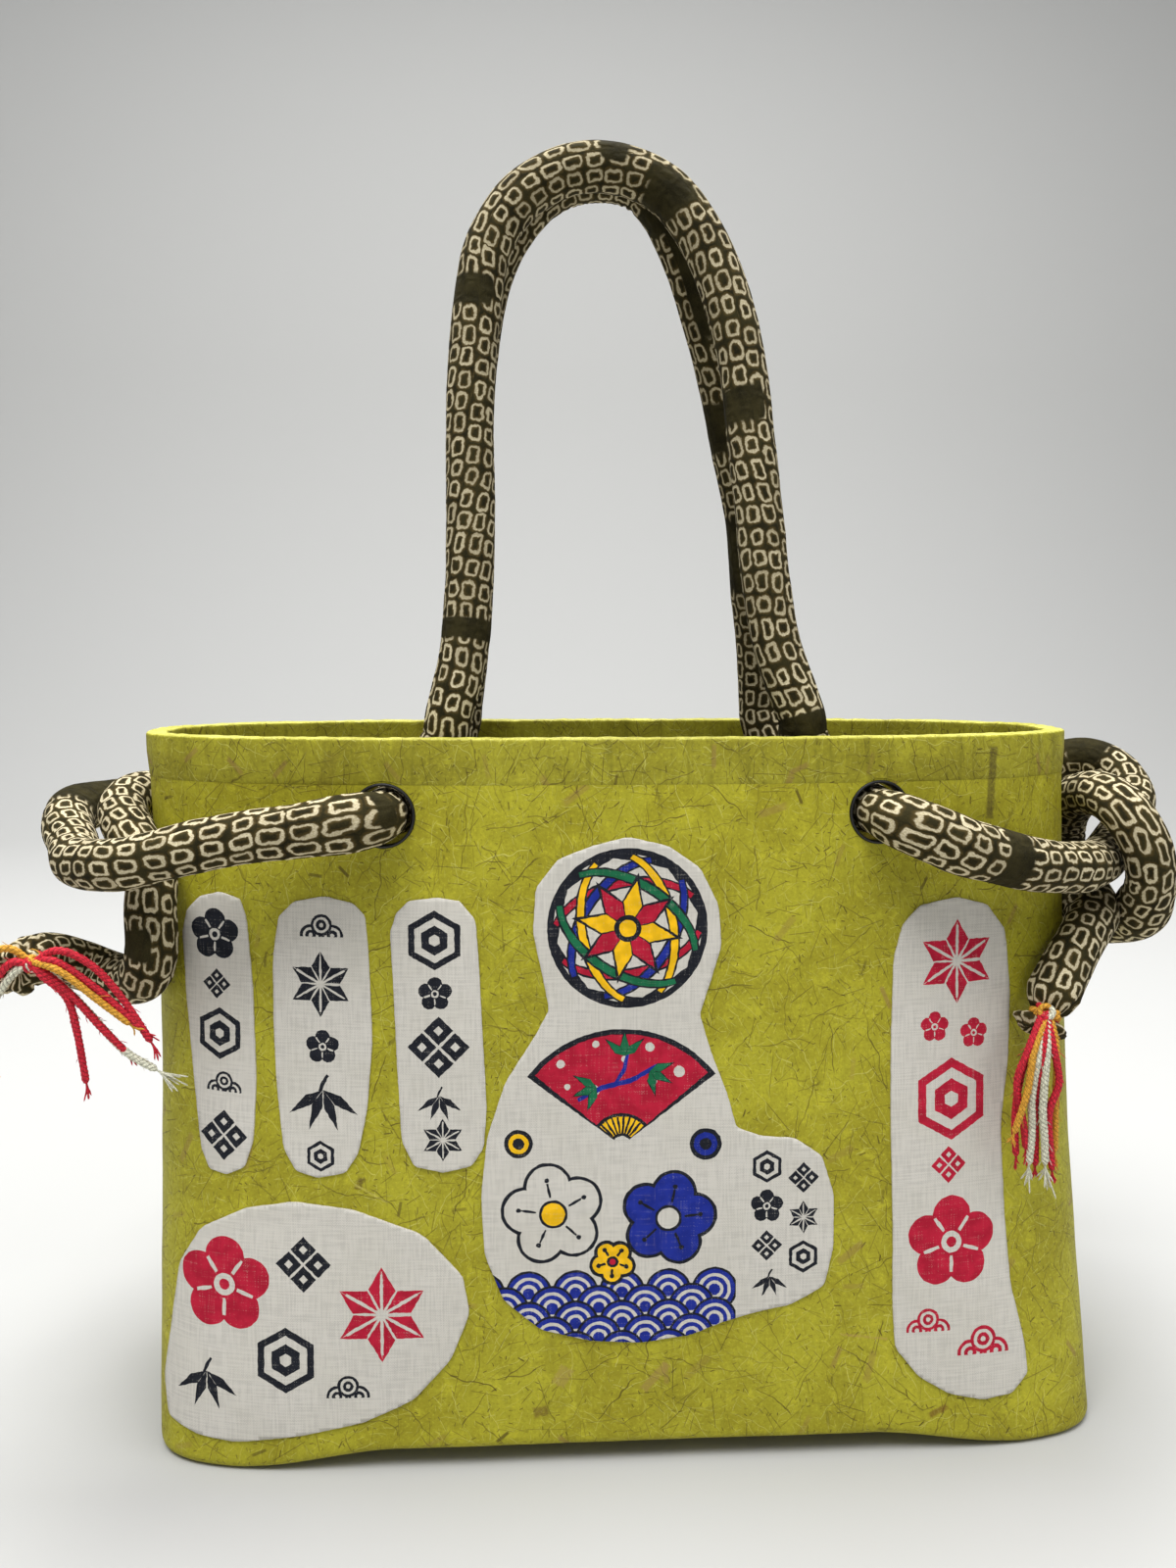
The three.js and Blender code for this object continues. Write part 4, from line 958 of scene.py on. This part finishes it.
# Yarns of a tassel: colour, and points from the tie's middle
HANGING = [
    ("r", [(-4, -11.6, -6), (-7.5, -11.5, -18), (-4.5, -10.5, -31), (-3, -10, -41)]),
    ("o", [(-2.8, -12.4, -7), (-4.8, -13.4, -20), (-8.3, -12.6, -34.5)]),
    ("r", [(-3, -10.4, -6), (-5.5, -9.4, -17), (-6.5, -8.8, -29), (-5.5, -8.5, -44)]),
    ("c", [(-1, -11.8, -8), (-2.6, -11.8, -22), (-1.7, -11, -34), (-2, -10.6, -46)]),
    ("r", [(0.3, -11.8, -8), (-0.2, -9.4, -25), (0.6, -8.8, -37), (1, -8.5, -47.5)]),
    ("c", [(1.6, -11.9, -9), (1.2, -11.8, -26), (2.4, -11.4, -37), (3.2, -11, -46)]),
    ("o", [(2.6, -10, -8), (3.0, -8.6, -22), (4.2, -8.2, -36)]),
    ("r", [(3.9, -11.2, -6), (6.4, -11.2, -18), (3.9, -10.6, -29), (6, -10, -48.5)]),
    ("o", [(5.2, -10.6, -7), (6.8, -8.6, -26), (7.6, -8, -43)]),
]
DRAPED = [
    ("o", [(2, -11, 8.4), (-4, -11.5, 6.6), (-8, -12, -2), (-8, -12, -15), (-5, -11.5, -29)]),
    ("r", [(3, -12, 4.5), (-2, -12, -0.5), (-7, -12, -8), (-10, -11.5, -17)]),
    ("c", [(4, -11.4, 2), (-1, -11.6, -4), (-6.5, -12, -13), (-8.5, -11.5, -22)]),
    ("r", [(11.5, -11.6, 0), (18, -11, -7), (20, -9.6, -18), (21.5, -8, -35.6)]),
    ("r", [(16, -11, 7.6), (25.7, -10, 2.5), (34, -8.5, -8.7), (41.8, -7.5, -23)]),
    ("r", [(13, -12, 5), (17.3, -11.6, 3.4), (27, -10, -5), (39.7, -8, -18.8)]),
    ("o", [(13, -12.6, 3.6), (18.7, -12.8, 0.6), (27, -11.2, -7.6), (36.2, -9, -16.6)]),
    ("r", [(12, -11.4, 1), (20, -11, -6.9), (27, -9.4, -16.7), (34, -7.6, -25.8)]),
    ("c", [(13, -10.2, 0), (22, -9, -10.5), (33, -7.4, -25), (43, -7, -32)]),
]
# Each tassel: the tie's outward side, its yarns, 1 in front or -1 behind, and a sideways shift
TASSELS = {
    "rear_right": ((-0.55, -1, 0.0), HANGING, 1, -5.5), "rear_left": ((0.75, -0.35, 0.1), DRAPED, 1, 0),
    "front_right": ((0.1, 1, 0.1), HANGING, -1, 0), "front_left": ((-0.1, 1, 0.1), HANGING, -1, 0),
}
# Each colour of yarn in a tassel: its radius, its number of frayed threads and how far they reach
YARN_FORMS = {"c": (1.3, 16, 8.0), "r": (1.22, 10, 4.5), "o": (1.15, 10, 4.5)}
# Radii of the finer strands, and of the yarns in the tie, the knot on it and the bead of loops
THREAD_RADIUS, HAIR_RADIUS, TIE_RADIUS, KNOT_RADIUS, BEAD_RADIUS = 0.24, 0.11, 0.75, 1.1, 0.9
# The bead of loops that the yarns leave from: its place from the tie's middle, on the left and elsewhere
DRAPED_BEAD, BEAD_OUT = np.array([7, -9.0, 3.0]), 8.8


def any_way(rnd):
    """A short step any way."""
    return np.array([rnd.uniform(-1, 1) for axis in "xyz"])


def wound_tie(name, centre, axis, o, side):
    """Two and a half turns of doubled yarn, drawn tight into the neck, with a flat knot over them."""
    tie = Bundle()
    turns = np.linspace(0, 2 * np.pi * 2.5, 60)
    for lift, mat in ((-0.7, 1), (0.7, 0)):
        line = []
        for a in turns:
            radius = NECK + 0.6 + 0.15 * math.sin(a * 1.3)
            along = lift + 0.5 * (a / turns[-1] - 0.5)
            line.append(centre + (o * np.cos(a) + side * np.sin(a)) * radius + axis * along)
        tie.add(mat, line, TIE_RADIUS)
    knot = centre + o * (NECK + 2.6)
    for tilt, mat, reach in ((0.5, 1, 4.6), (-0.6, 0, 4.2), (0.1, 1, 5.0)):
        along = (side * math.cos(tilt) + axis * math.sin(tilt)) * reach
        hump = ((-1, -2.0), (-0.55, 0.2), (0, 1.0 + tilt), (0.55, 0.1), (1, -2.0))
        tie.add(mat, [knot + along * share + o * out for share, out in hump], KNOT_RADIUS)
    obj = tie.make("tie_wound_" + name)
    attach(obj, "root")
    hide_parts("tassel_tie_" + name)


def frayed_yarn(hang, points, colour, seed, rnd):
    """One yarn with fine threads spreading from its end and short hairs standing off it."""
    mat = YARN_ORDER.index(colour)
    radius, threads, reach = YARN_FORMS[colour]
    hang.add(mat, points, radius, sides=18, step=0.4, taper=0.08, seed=seed)
    tip, before = np.array(points[-1]), np.array(points[-2])
    way_on = (tip - before) / np.linalg.norm(tip - before)
    for thread in range(threads):
        spread = any_way(rnd) * 0.42
        far = tip + (way_on + spread) * rnd.uniform(0.5, 1) * reach
        fine = [tip - way_on * 2.0, tip + (way_on + spread * 0.5) * 1.5, far]
        hang.add(mat, fine, THREAD_RADIUS, sides=6, step=0.7, plied=False)
    line, heading, _ = smooth_line(points, 2.2)
    for root, along in zip(line[2:-1], heading[2:-1]):
        off = any_way(rnd) + along * 0.8
        far = root + off * rnd.uniform(1.6, 2.6) + along
        hang.add(mat, [root, root + off * 1.3, far], HAIR_RADIUS, sides=5, step=0.8, plied=False)


def tassel(name, out, yarns, flip, aside):
    """The tie on one gathered rope end and the yarns that hang from it."""
    q, d, s = smooth_line(TAILS[name], 0.4)
    at = np.searchsorted(s, s[-1] - RUFFLE_LENGTH)
    centre, axis = q[at], d[at]
    o = np.array(out, float)
    o -= o.dot(axis) * axis
    o /= np.linalg.norm(o)
    side = np.cross(axis, o)
    wound_tie(name, centre, axis, o, side)

    def across(a):
        return side * math.cos(a) + axis * math.sin(a)

    bead = centre + (DRAPED_BEAD if yarns is DRAPED else o * BEAD_OUT)
    hang = Bundle()
    for k, (colour, way) in enumerate(yarns):
        points = [bead + across(k * 2.1) * 0.9]
        points += [centre + np.array([x + aside, flip * y, z]) for x, y, z in way]
        frayed_yarn(hang, points, colour, k, random.Random(f"{name} {k}"))
    for k, mat in enumerate((0, 1, 0, 2, 1)):
        a = k * 2.4
        around = np.linspace(0, 4.4, 9)
        loop = [bead + across(a + b) * 2.0 + o * (0.9 * math.sin(a * 1.7 + b)) for b in around]
        hang.add(mat, loop, BEAD_RADIUS, step=0.5)
    obj = hang.make("yarns_" + name)
    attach(obj, f"tassel_{name}_swing")
    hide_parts("tassel_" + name)


for name, form in TASSELS.items():
    tassel(name, *form)


# Cotton patches with printed motifs
PATCHES = {
    "a": [(-139, 184), (-132, 186), (-125, 184), (-123, 178), (-121, 155), (-120, 126), (-121, 107),
          (-124, 98), (-130, 95), (-136, 96), (-139, 102), (-142, 123), (-145, 152), (-146, 171),
          (-144, 179)],
    "b": [(-107, 184), (-97, 186), (-88, 184), (-84, 180), (-83, 169), (-82, 140), (-84, 118),
          (-87, 104), (-91, 98), (-100, 96), (-107, 98), (-111, 105), (-113, 124), (-114, 146),
          (-114, 166), (-112, 179)],
    "c": [(-70, 185), (-61, 186), (-54, 185), (-49, 179), (-48, 164), (-47, 141), (-46, 119), (-47, 106),
          (-51, 100), (-60, 98), (-69, 100), (-73, 108), (-74, 128), (-75, 153), (-76, 175), (-74, 181)],
    "d": [(-108, 88), (-89, 86), (-67, 78), (-54, 64), (-52, 52), (-58, 37), (-70, 24), (-86, 17),
          (-105, 13), (-127, 10), (-140, 11), (-151, 14), (-153, 25), (-150, 45), (-147, 64), (-139, 77),
          (-124, 85)],
    "e": [(-13, 202), (-1, 205), (12, 202), (22, 195), (28, 183), (29, 170), (25, 157), (22, 148),
          (26, 135), (31, 122), (34, 111), (42, 108), (53, 107), (62, 101), (66, 88), (66, 71), (63, 58),
          (52, 52), (41, 50), (30, 47), (19, 43), (3, 41), (-13, 42), (-29, 46), (-41, 56), (-47, 71),
          (-48, 90), (-46, 109), (-40, 127), (-31, 141), (-26, 150), (-28, 161), (-31, 175), (-30, 189),
          (-23, 198)],
    "f": [(95, 181), (108, 183), (119, 180), (126, 171), (128, 151), (127, 128), (124, 106), (125, 80),
          (127, 54), (132, 34), (133, 24), (127, 18), (117, 17), (105, 20), (95, 26), (87, 36), (86, 51),
          (86, 77), (85, 109), (85, 138), (86, 164), (89, 175)],
}


def split(points, step):
    """A closed outline's sides split into steps."""
    fine = []
    for a, b in zip(points, np.roll(points, -1, 0)):
        m = max(1, int(np.linalg.norm(b - a) / step))
        fine += [a + (b - a) * i / m for i in range(m)]
    return np.array(fine)


def shaken(points, rnd, most):
    """Points moved by hand's unsteadiness."""
    return points + np.array([[rnd.uniform(-most, most) for axis in "xy"] for point in points])


def cut_line(points, turn=0.15):
    """Edge cut with scissors: straight snips with short rounded corners between them."""
    p = np.asarray(points, float)
    out = []
    for a, b, c in zip(np.roll(p, 1, 0), p, np.roll(p, -1, 0)):
        start, stop = b + (a - b) * turn, b + (c - b) * turn
        out += [(1 - w) ** 2 * start + 2 * w * (1 - w) * b + w * w * stop for w in np.linspace(0, 1, 6)]
    return split(np.array(out), 1.5)


def inside(poly, pts):
    """Which points lie in the polygon."""
    x, y = pts[:, 0], pts[:, 1]
    within = np.zeros(len(pts), bool)
    for (x0, y0), (x1, y1) in zip(poly, np.roll(poly, -1, 0)):
        if y0 != y1:
            within ^= ((y0 > y) != (y1 > y)) & (x < (x1 - x0) * (y - y0) / (y1 - y0) + x0)
    return within


def ray(x, y, a, *reaches):
    """Points at distances from (x, y) in the direction a."""
    return [(x + far * math.cos(a), y + far * math.sin(a)) for far in reaches]


class Art:
    """Printed shapes painted one over another, as polygons with an ink each."""

    def __init__(self, seed):
        self.shapes = []
        self.rnd = random.Random(seed)

    def poly(self, pts, ink, rough=0.12):
        self.shapes.append((shaken(split(np.asarray(pts, float), 0.9), self.rnd, rough), ink))

    def disc(self, x, y, r, ink, sides=None):
        """Round spot, or a hexagon and the like with a corner at its top."""
        n = sides or max(10, int(r * 5))
        w = np.linspace(0, 2 * np.pi, n, endpoint=False) + (math.pi / sides if sides else 0)
        self.poly(np.stack([x + r * np.cos(w), y + r * np.sin(w)], 1), ink, 0.1)

    def rings(self, x, y, *spots, sides=None):
        """Spots one on another, each with its radius and ink."""
        for r, ink in spots:
            self.disc(x, y, r, ink, sides)

    def stroke(self, pts, width, ink):
        """Brush line along points, thinner at its ends."""
        p = np.asarray(pts, float)
        d = np.gradient(p, axis=0)
        n = np.stack([-d[:, 1], d[:, 0]], 1) / np.linalg.norm(d, axis=1, keepdims=True)
        w = width / 2 * (0.62 + 0.38 * np.sin(np.linspace(0.25, np.pi - 0.25, len(p))))[:, None]
        self.poly(np.vstack([p + n * w, (p - n * w)[::-1]]), ink)

    def leaf(self, x, y, a, near, half, far, ink):
        """Pointed leaf from (x, y) in the direction a, widest at near."""
        c, s = math.cos(a), math.sin(a)
        self.poly([(x, y), (x + near * c - half * s, y + near * s + half * c), (x + far * c, y + far * s),
                   (x + near * c + half * s, y + near * s - half * c)], ink)

    def petals(self, x, y, r, turn, ink, grow=0.0):
        for k in range(5):
            self.disc(*ray(x, y, turn + k * 2 * math.pi / 5, 0.58 * r)[0], 0.44 * r + grow, ink)
        self.disc(x, y, 0.45 * r + grow, ink)

    def plum(self, x, y, r, ink):
        self.petals(x, y, r, 0.3, ink)
        self.rings(x, y, (0.24 * r, WHITE), (0.12 * r, ink))
        for k in range(5):
            a = 0.3 + (k + 0.5) * 2 * math.pi / 5
            self.stroke(ray(x, y, a, 0.3 * r, 0.5 * r, 0.66 * r), 0.09 * r, WHITE)

    def shell_hexagon(self, x, y, r, ink):
        self.rings(x, y, (r, ink), (0.76 * r, WHITE), (0.5 * r, ink), (0.2 * r, WHITE), sides=6)

    def waves(self, x, y, r, ink):
        for dx, dy in ((-r * 0.5, -r * 0.35), (r * 0.5, -r * 0.35), (0, r * 0.12)):
            self.rings(x + dx, y + dy, (r * 0.5, ink), (r * 0.37, WHITE), (r * 0.25, ink), (r * 0.1, WHITE))
        left, right, low, high = x - r * 1.1, x + r * 1.1, y - r, y - r * 0.42
        self.poly([(left, low), (right, low), (right, high), (left, high)], WHITE, 0)

    def diamond(self, x, y, r, ink):
        for dx, dy in ((0, 0.5), (0, -0.5), (0.5, 0), (-0.5, 0)):
            cx, cy = x + dx * r, y + dy * r
            for q, colour, rough in ((0.44 * r, ink, 0.12), (0.15 * r, WHITE, 0.05)):
                self.poly([(cx - q, cy), (cx, cy - q), (cx + q, cy), (cx, cy + q)], colour, rough)

    def hemp(self, x, y, r, ink):
        """Six-pointed leaf star."""
        for k in range(6):
            a = k * math.pi / 3 + math.pi / 6
            for s in (-1, 1):
                root, = ray(x, y, a + s * 0.3, 0.1 * r)
                notch, = ray(x, y, a + s * math.pi / 6, 0.62 * 0.94 * r)
                self.poly([root, ray(x, y, a, r)[0], notch], ink)
            self.stroke(ray(x, y, a, 0.05 * r, 0.3 * r, 0.6 * r, 0.85 * r), 0.07 * r, WHITE)
            self.stroke(ray(x, y, a + math.pi / 6, 0.05 * r, 0.3 * r, 0.5 * r, 0.62 * r), 0.08 * r, WHITE)

    def bamboo(self, x, y, r, ink):
        for a in (250, 290, 215, 325):
            self.leaf(x, y + 0.5 * r, math.radians(a), 0.55 * r, 0.17 * r, 1.3 * r, ink)
        stem = [(x - 0.1 * r, y + 0.45 * r), (x, y + 0.7 * r), (x + 0.15 * r, y + 0.95 * r)]
        self.stroke(stem, 0.12 * r, ink)

    def outlined_plum(self, x, y, r, fill, core, turn):
        """Plum blossom with a bold dark outline."""
        self.petals(x, y, r, turn, BLACK, 1.1)
        self.petals(x, y, r, turn, fill)
        self.rings(x, y, (0.30 * r, BLACK), (0.30 * r - 0.9, core))
        for k in range(5):
            a = turn + k * 2 * math.pi / 5
            self.stroke(ray(x, y, a, 0.36 * r, 0.5 * r, 0.66 * r), 0.9, BLACK)
            self.disc(*ray(x, y, a, 0.72 * r)[0], 0.8, BLACK)

    def ball(self, x, y, r):
        """Thread ball: coloured bands crossing on a round ground, with a bold outline."""
        self.rings(x, y, (r, BLACK), (r - 1.9, WHITE))
        for k, ink in enumerate((RED, BLUE, YELLOW, GREEN)):
            c, s = math.cos(k * math.pi / 4 + 0.2), math.sin(k * math.pi / 4 + 0.2)
            for bend in (-0.6, 0.6):
                line = []
                for q in np.linspace(-1, 1, 25):
                    u, v = q * (r - 1.4), bend * (r - 1.4) * math.sqrt(max(0, 1 - q * q))
                    line.append((x + u * c - v * s, y + u * s + v * c))
                self.stroke(line, r * 0.14, BLACK)
                self.stroke(line[1:-1], r * 0.09, ink)
        for k in range(8):
            a = k * math.pi / 4 + 0.2 + math.pi / 8
            for ink, f in ((BLACK, 1.18), ((RED, YELLOW)[k % 2], 1.0)):
                self.leaf(x, y, a, 0.3 * r, 0.12 * r * f, 0.60 * r * f, ink)
        self.rings(x, y, (r * 0.17, BLACK), (r * 0.11, YELLOW))

    def open_fan(self, x, y, r, low, high):
        """Red open fan with white dots, a blue twig and green bamboo leaves."""
        for near, far, more, ink in ((3.0, r + 1.7, 3, BLACK), (10.5, r, 0, RED), (4.0, 9.4, -2, YELLOW)):
            w = np.radians(np.linspace(low - more, high + more, 30))
            outer, inner = (np.stack([x + q * np.cos(w), y + q * np.sin(w)], 1) for q in (far, near))
            self.poly(np.vstack([outer, inner[::-1]]), ink)
        for a in range(low + 10, high - 5, 12):
            self.stroke(ray(x, y, math.radians(a), 4.0, 6.5, 9.4), 0.8, BLACK)
        dots = ((low + 12, 30, 1.9), (low + 24, 23, 1.3), (low + 34, 33, 1.5), (high - 14, 33, 1.4),
                (high - 24, 20, 1.8), (high - 36, 34, 1.2), (low + 48, 28, 1.1), (high - 8, 26, 1.0))
        for a, far, size in dots:
            self.disc(*ray(x, y, math.radians(a), far)[0], size, WHITE)
        self.stroke([(x - 14, y + 15), (x - 6, y + 19), (x + 3, y + 21), (x + 12, y + 26)], 1.7, BLUE)
        self.stroke([(x - 2, y + 20), (x + 1, y + 25), (x + 2, y + 30)], 1.4, BLUE)
        for cx, cy, turn in ((x - 8, y + 19, 200), (x + 9, y + 24, 330), (x + 1, y + 29, 90)):
            for da in (-48, 0, 48):
                for ink, f in ((BLACK, 1.14), (GREEN, 1.0)):
                    self.leaf(cx, cy, math.radians(turn + da), 3, 1.35 * f, 7.6 * f, ink)

    def sea(self, x0, x1, heights, r):
        """Rows of overlapping round waves, the lower ones in front."""
        for row, y in enumerate(heights):
            for x in np.arange(x0 + (row % 2) * r, x1, 2 * r):
                self.rings(x, y, (r, BLACK), (r * 0.90, BLUE), (r * 0.72, WHITE), (r * 0.58, BLUE),
                           (r * 0.40, WHITE), (r * 0.26, BLUE))

    def scattered(self, *marks):
        """Motifs from a list of (motif, x, z, radius, ink)."""
        for motif, x, z, r, ink in marks:
            motif(self, x, z, r, ink)
        return self


# Spacing of the points inside a patch, the cotton's top over the wall and its cut side's foot
LOOSE, COTTON_TOP, COTTON_FOOT = 1.5, 0.62, 0.02


def triangles(edge, shapes):
    """Points and triangles of a patch, split along the edges of its printed shapes, with their inks."""
    lo, hi = edge.min(0), edge.max(0)
    gx, gy = np.meshgrid(np.arange(lo[0] + 1, hi[0], LOOSE), np.arange(lo[1] + 1, hi[1], LOOSE))
    loose = np.stack([gx.ravel(), gy.ravel()], 1)
    verts = [Vector(v) for v in loose[inside(edge, loose)]]
    edges = []
    for shape in [edge] + [s for s, _ in shapes]:
        start = len(verts)
        verts += [Vector(v) for v in shape]
        edges += [(start + k, start + (k + 1) % len(shape)) for k in range(len(shape))]
    v, _, f, *_ = delaunay_2d_cdt(verts, edges, [], 0, 1e-4)
    v = np.array([tuple(q) for q in v])
    f = np.array([t for t in f if len(t) == 3])
    f = f[inside(edge, v[f].mean(1))]
    mid = v[f].mean(1)
    ink = np.zeros(len(f), int)
    for shape, colour in shapes:
        near = np.where(((mid >= shape.min(0)) & (mid <= shape.max(0))).all(1))[0]
        if len(near):
            ink[near[inside(shape, mid[near])]] = colour
    return v, f, ink


def patch(key, art, seed):
    """Patch cut from cotton and glued to the front, with its printed shapes."""
    edge = cut_line(PATCHES[key])
    edge = shaken(edge, random.Random(seed), 0.07)
    v, f, ink = triangles(edge, art.shapes)
    top, low = (wall(v[:, 0], v[:, 1], out)[0] for out in (COTTON_TOP, COTTON_FOOT))
    # side walls along the cut
    pairs = np.concatenate([f[:, [0, 1]], f[:, [1, 2]], f[:, [2, 0]]])
    _, first, count = np.unique(np.sort(pairs, 1), axis=0, return_index=True, return_counts=True)
    a, b = pairs[first[count == 1]].T
    n = len(v)
    faces = np.concatenate([f, np.stack([b, a, a + n], 1), np.stack([b, a + n, b + n], 1)])
    inks = np.concatenate([ink, np.zeros(len(faces) - len(f), int)])
    uv = np.vstack([v, v])[faces].reshape(-1, 2)
    is_top = np.arange(len(faces)) < len(f)
    obj = mesh_object("cotton_" + key, np.vstack([top, low]), faces, uv, cloth_mats, inks, is_top)
    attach(obj, "root")
    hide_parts("patch_" + key)


PLUM, HEXAGON, WAVES, DIAMOND, HEMP, BAMBOO = (
    Art.plum, Art.shell_hexagon, Art.waves, Art.diamond, Art.hemp, Art.bamboo)
# Columns of motifs: seed, and (motif, x, z, radius, ink) from the top
COLUMNS = {
    "a": (11, [(PLUM, -134, 172, 8.4, BLACK), (DIAMOND, -133.5, 156, 5.2, BLACK),
               (HEXAGON, -132.5, 140, 8.4, BLACK), (WAVES, -131, 124, 6.2, BLACK),
               (DIAMOND, -131, 107.5, 8.6, BLACK)]),
    "b": (12, [(WAVES, -98, 176, 7, BLACK), (HEMP, -98.5, 158, 10.5, BLACK), (PLUM, -98, 138, 5.4, BLACK),
               (BAMBOO, -98, 119, 10.5, BLACK), (HEXAGON, -99, 103, 5, BLACK)]),
    "c": (13, [(HEXAGON, -62, 172.5, 9.5, BLACK), (PLUM, -62, 155.5, 5.4, BLACK),
               (DIAMOND, -61, 138.5, 10.5, BLACK), (BAMBOO, -61, 119.5, 6.5, BLACK),
               (HEMP, -60, 108.5, 7, BLACK)]),
    "f": (16, [(HEMP, 108, 162, 14, RED), (PLUM, 100, 141, 5, RED), (PLUM, 114, 138, 5, RED),
               (HEXAGON, 106, 117, 13.5, RED), (DIAMOND, 105, 95.5, 6.5, RED), (PLUM, 106, 70, 15, RED),
               (WAVES, 98, 44, 7.5, RED), (WAVES, 117, 36, 9, RED)]),
    "d": (14, [(PLUM, -131, 60, 15, RED), (DIAMOND, -105, 68, 9.5, BLACK), (HEMP, -80, 52, 15.5, RED),
               (BAMBOO, -137, 27, 9.5, BLACK), (HEXAGON, -111, 37, 10.5, BLACK),
               (WAVES, -91, 28, 7, BLACK)]),
}
for key, (seed, marks) in COLUMNS.items():
    patch(key, Art(seed).scattered(*marks), seed)


def middle_patch():
    art = Art(15)
    art.sea(-48, 34, (58, 53, 48, 43, 38), 7.5)
    art.poly([(34, 100), (34, 40), (70, 40), (70, 112), (40, 112)], WHITE, 0)
    art.ball(-1, 176, 25.5)
    art.open_fan(-3, 106, 36, 40, 140)
    art.outlined_plum(-25, 84, 15.5, WHITE, YELLOW, 0.5)
    art.outlined_plum(12, 82, 14.5, BLUE, WHITE, 0.1)
    art.outlined_plum(-6, 68, 6.5, YELLOW, RED, 0.9)
    art.rings(-36, 107, (4.6, BLACK), (3.3, YELLOW), (1.9, BLACK))
    art.rings(24, 106, (5.2, BLACK), (3.8, BLUE), (2.0, BLACK))
    small = ((HEXAGON, 44, 98), (PLUM, 44, 85), (DIAMOND, 44, 72), (BAMBOO, 45, 59), (DIAMOND, 56, 94),
             (HEMP, 56, 81), (HEXAGON, 56, 68))
    patch("e", art.scattered(*((motif, x, z, 5.4, BLACK) for motif, x, z in small)), 15)


middle_patch()

# Floor, backdrop and lights
FLOOR = (188, 188, 186)
# The backdrop in metres: front edge, where it starts to rise, radius of the rise, top, half width
STAGE_FRONT, RISE_FROM, RISE_RADIUS, STAGE_TOP, STAGE_HALF = -3.0, 1.2, 0.8, 3.0, 4


def backdrop():
    """Pale floor that curves up into a wall behind."""
    M = Mat("backdrop", 0.9, 0.2)
    M.set(Base_Color=lin(*FLOOR))
    path = [(STAGE_FRONT, 0.0), (RISE_FROM, 0.0)]
    for a in np.linspace(0.1, math.pi / 2, 12):
        path.append((RISE_FROM + RISE_RADIUS * math.sin(a), RISE_RADIUS - RISE_RADIUS * math.cos(a)))
    path.append((RISE_FROM + RISE_RADIUS, STAGE_TOP))
    across = np.linspace(-STAGE_HALF, STAGE_HALF, 5)
    P = np.array([[(x, y, z) for x in across] for y, z in path]) / MM
    obj = grid_object("backdrop", P, P[..., :2].copy(), M.mat, close_u=False)


backdrop()


def lamp(name, place, aim, width, depth, power):
    data = bpy.data.lights.new(name, "AREA")
    data.shape = "RECTANGLE"
    data.size, data.size_y = width, depth
    data.energy = power
    obj = bpy.data.objects.new(name, data)
    obj.location = place
    obj.rotation_euler = (Vector(aim) - Vector(place)).to_track_quat("-Z", "Y").to_euler()
    scene.collection.objects.link(obj)


lamp("key", (-0.45, -0.75, 2.15), (0, 0, 0.2), 1.1, 1.1, 41)
lamp("fill", (1.2, -0.85, 2.0), (0, 0, 0.2), 1.4, 1.4, 16)
lamp("top", (0.0, 0.45, 2.1), (0, 0, 0.1), 1.4, 1.0, 51)
world = bpy.data.worlds.new("world")
scene.world = world
world.use_nodes = True
sky = world.node_tree.nodes["Background"]
sky.inputs["Color"].default_value = (0.95, 0.97, 1.0, 1)
sky.inputs["Strength"].default_value = 0.24
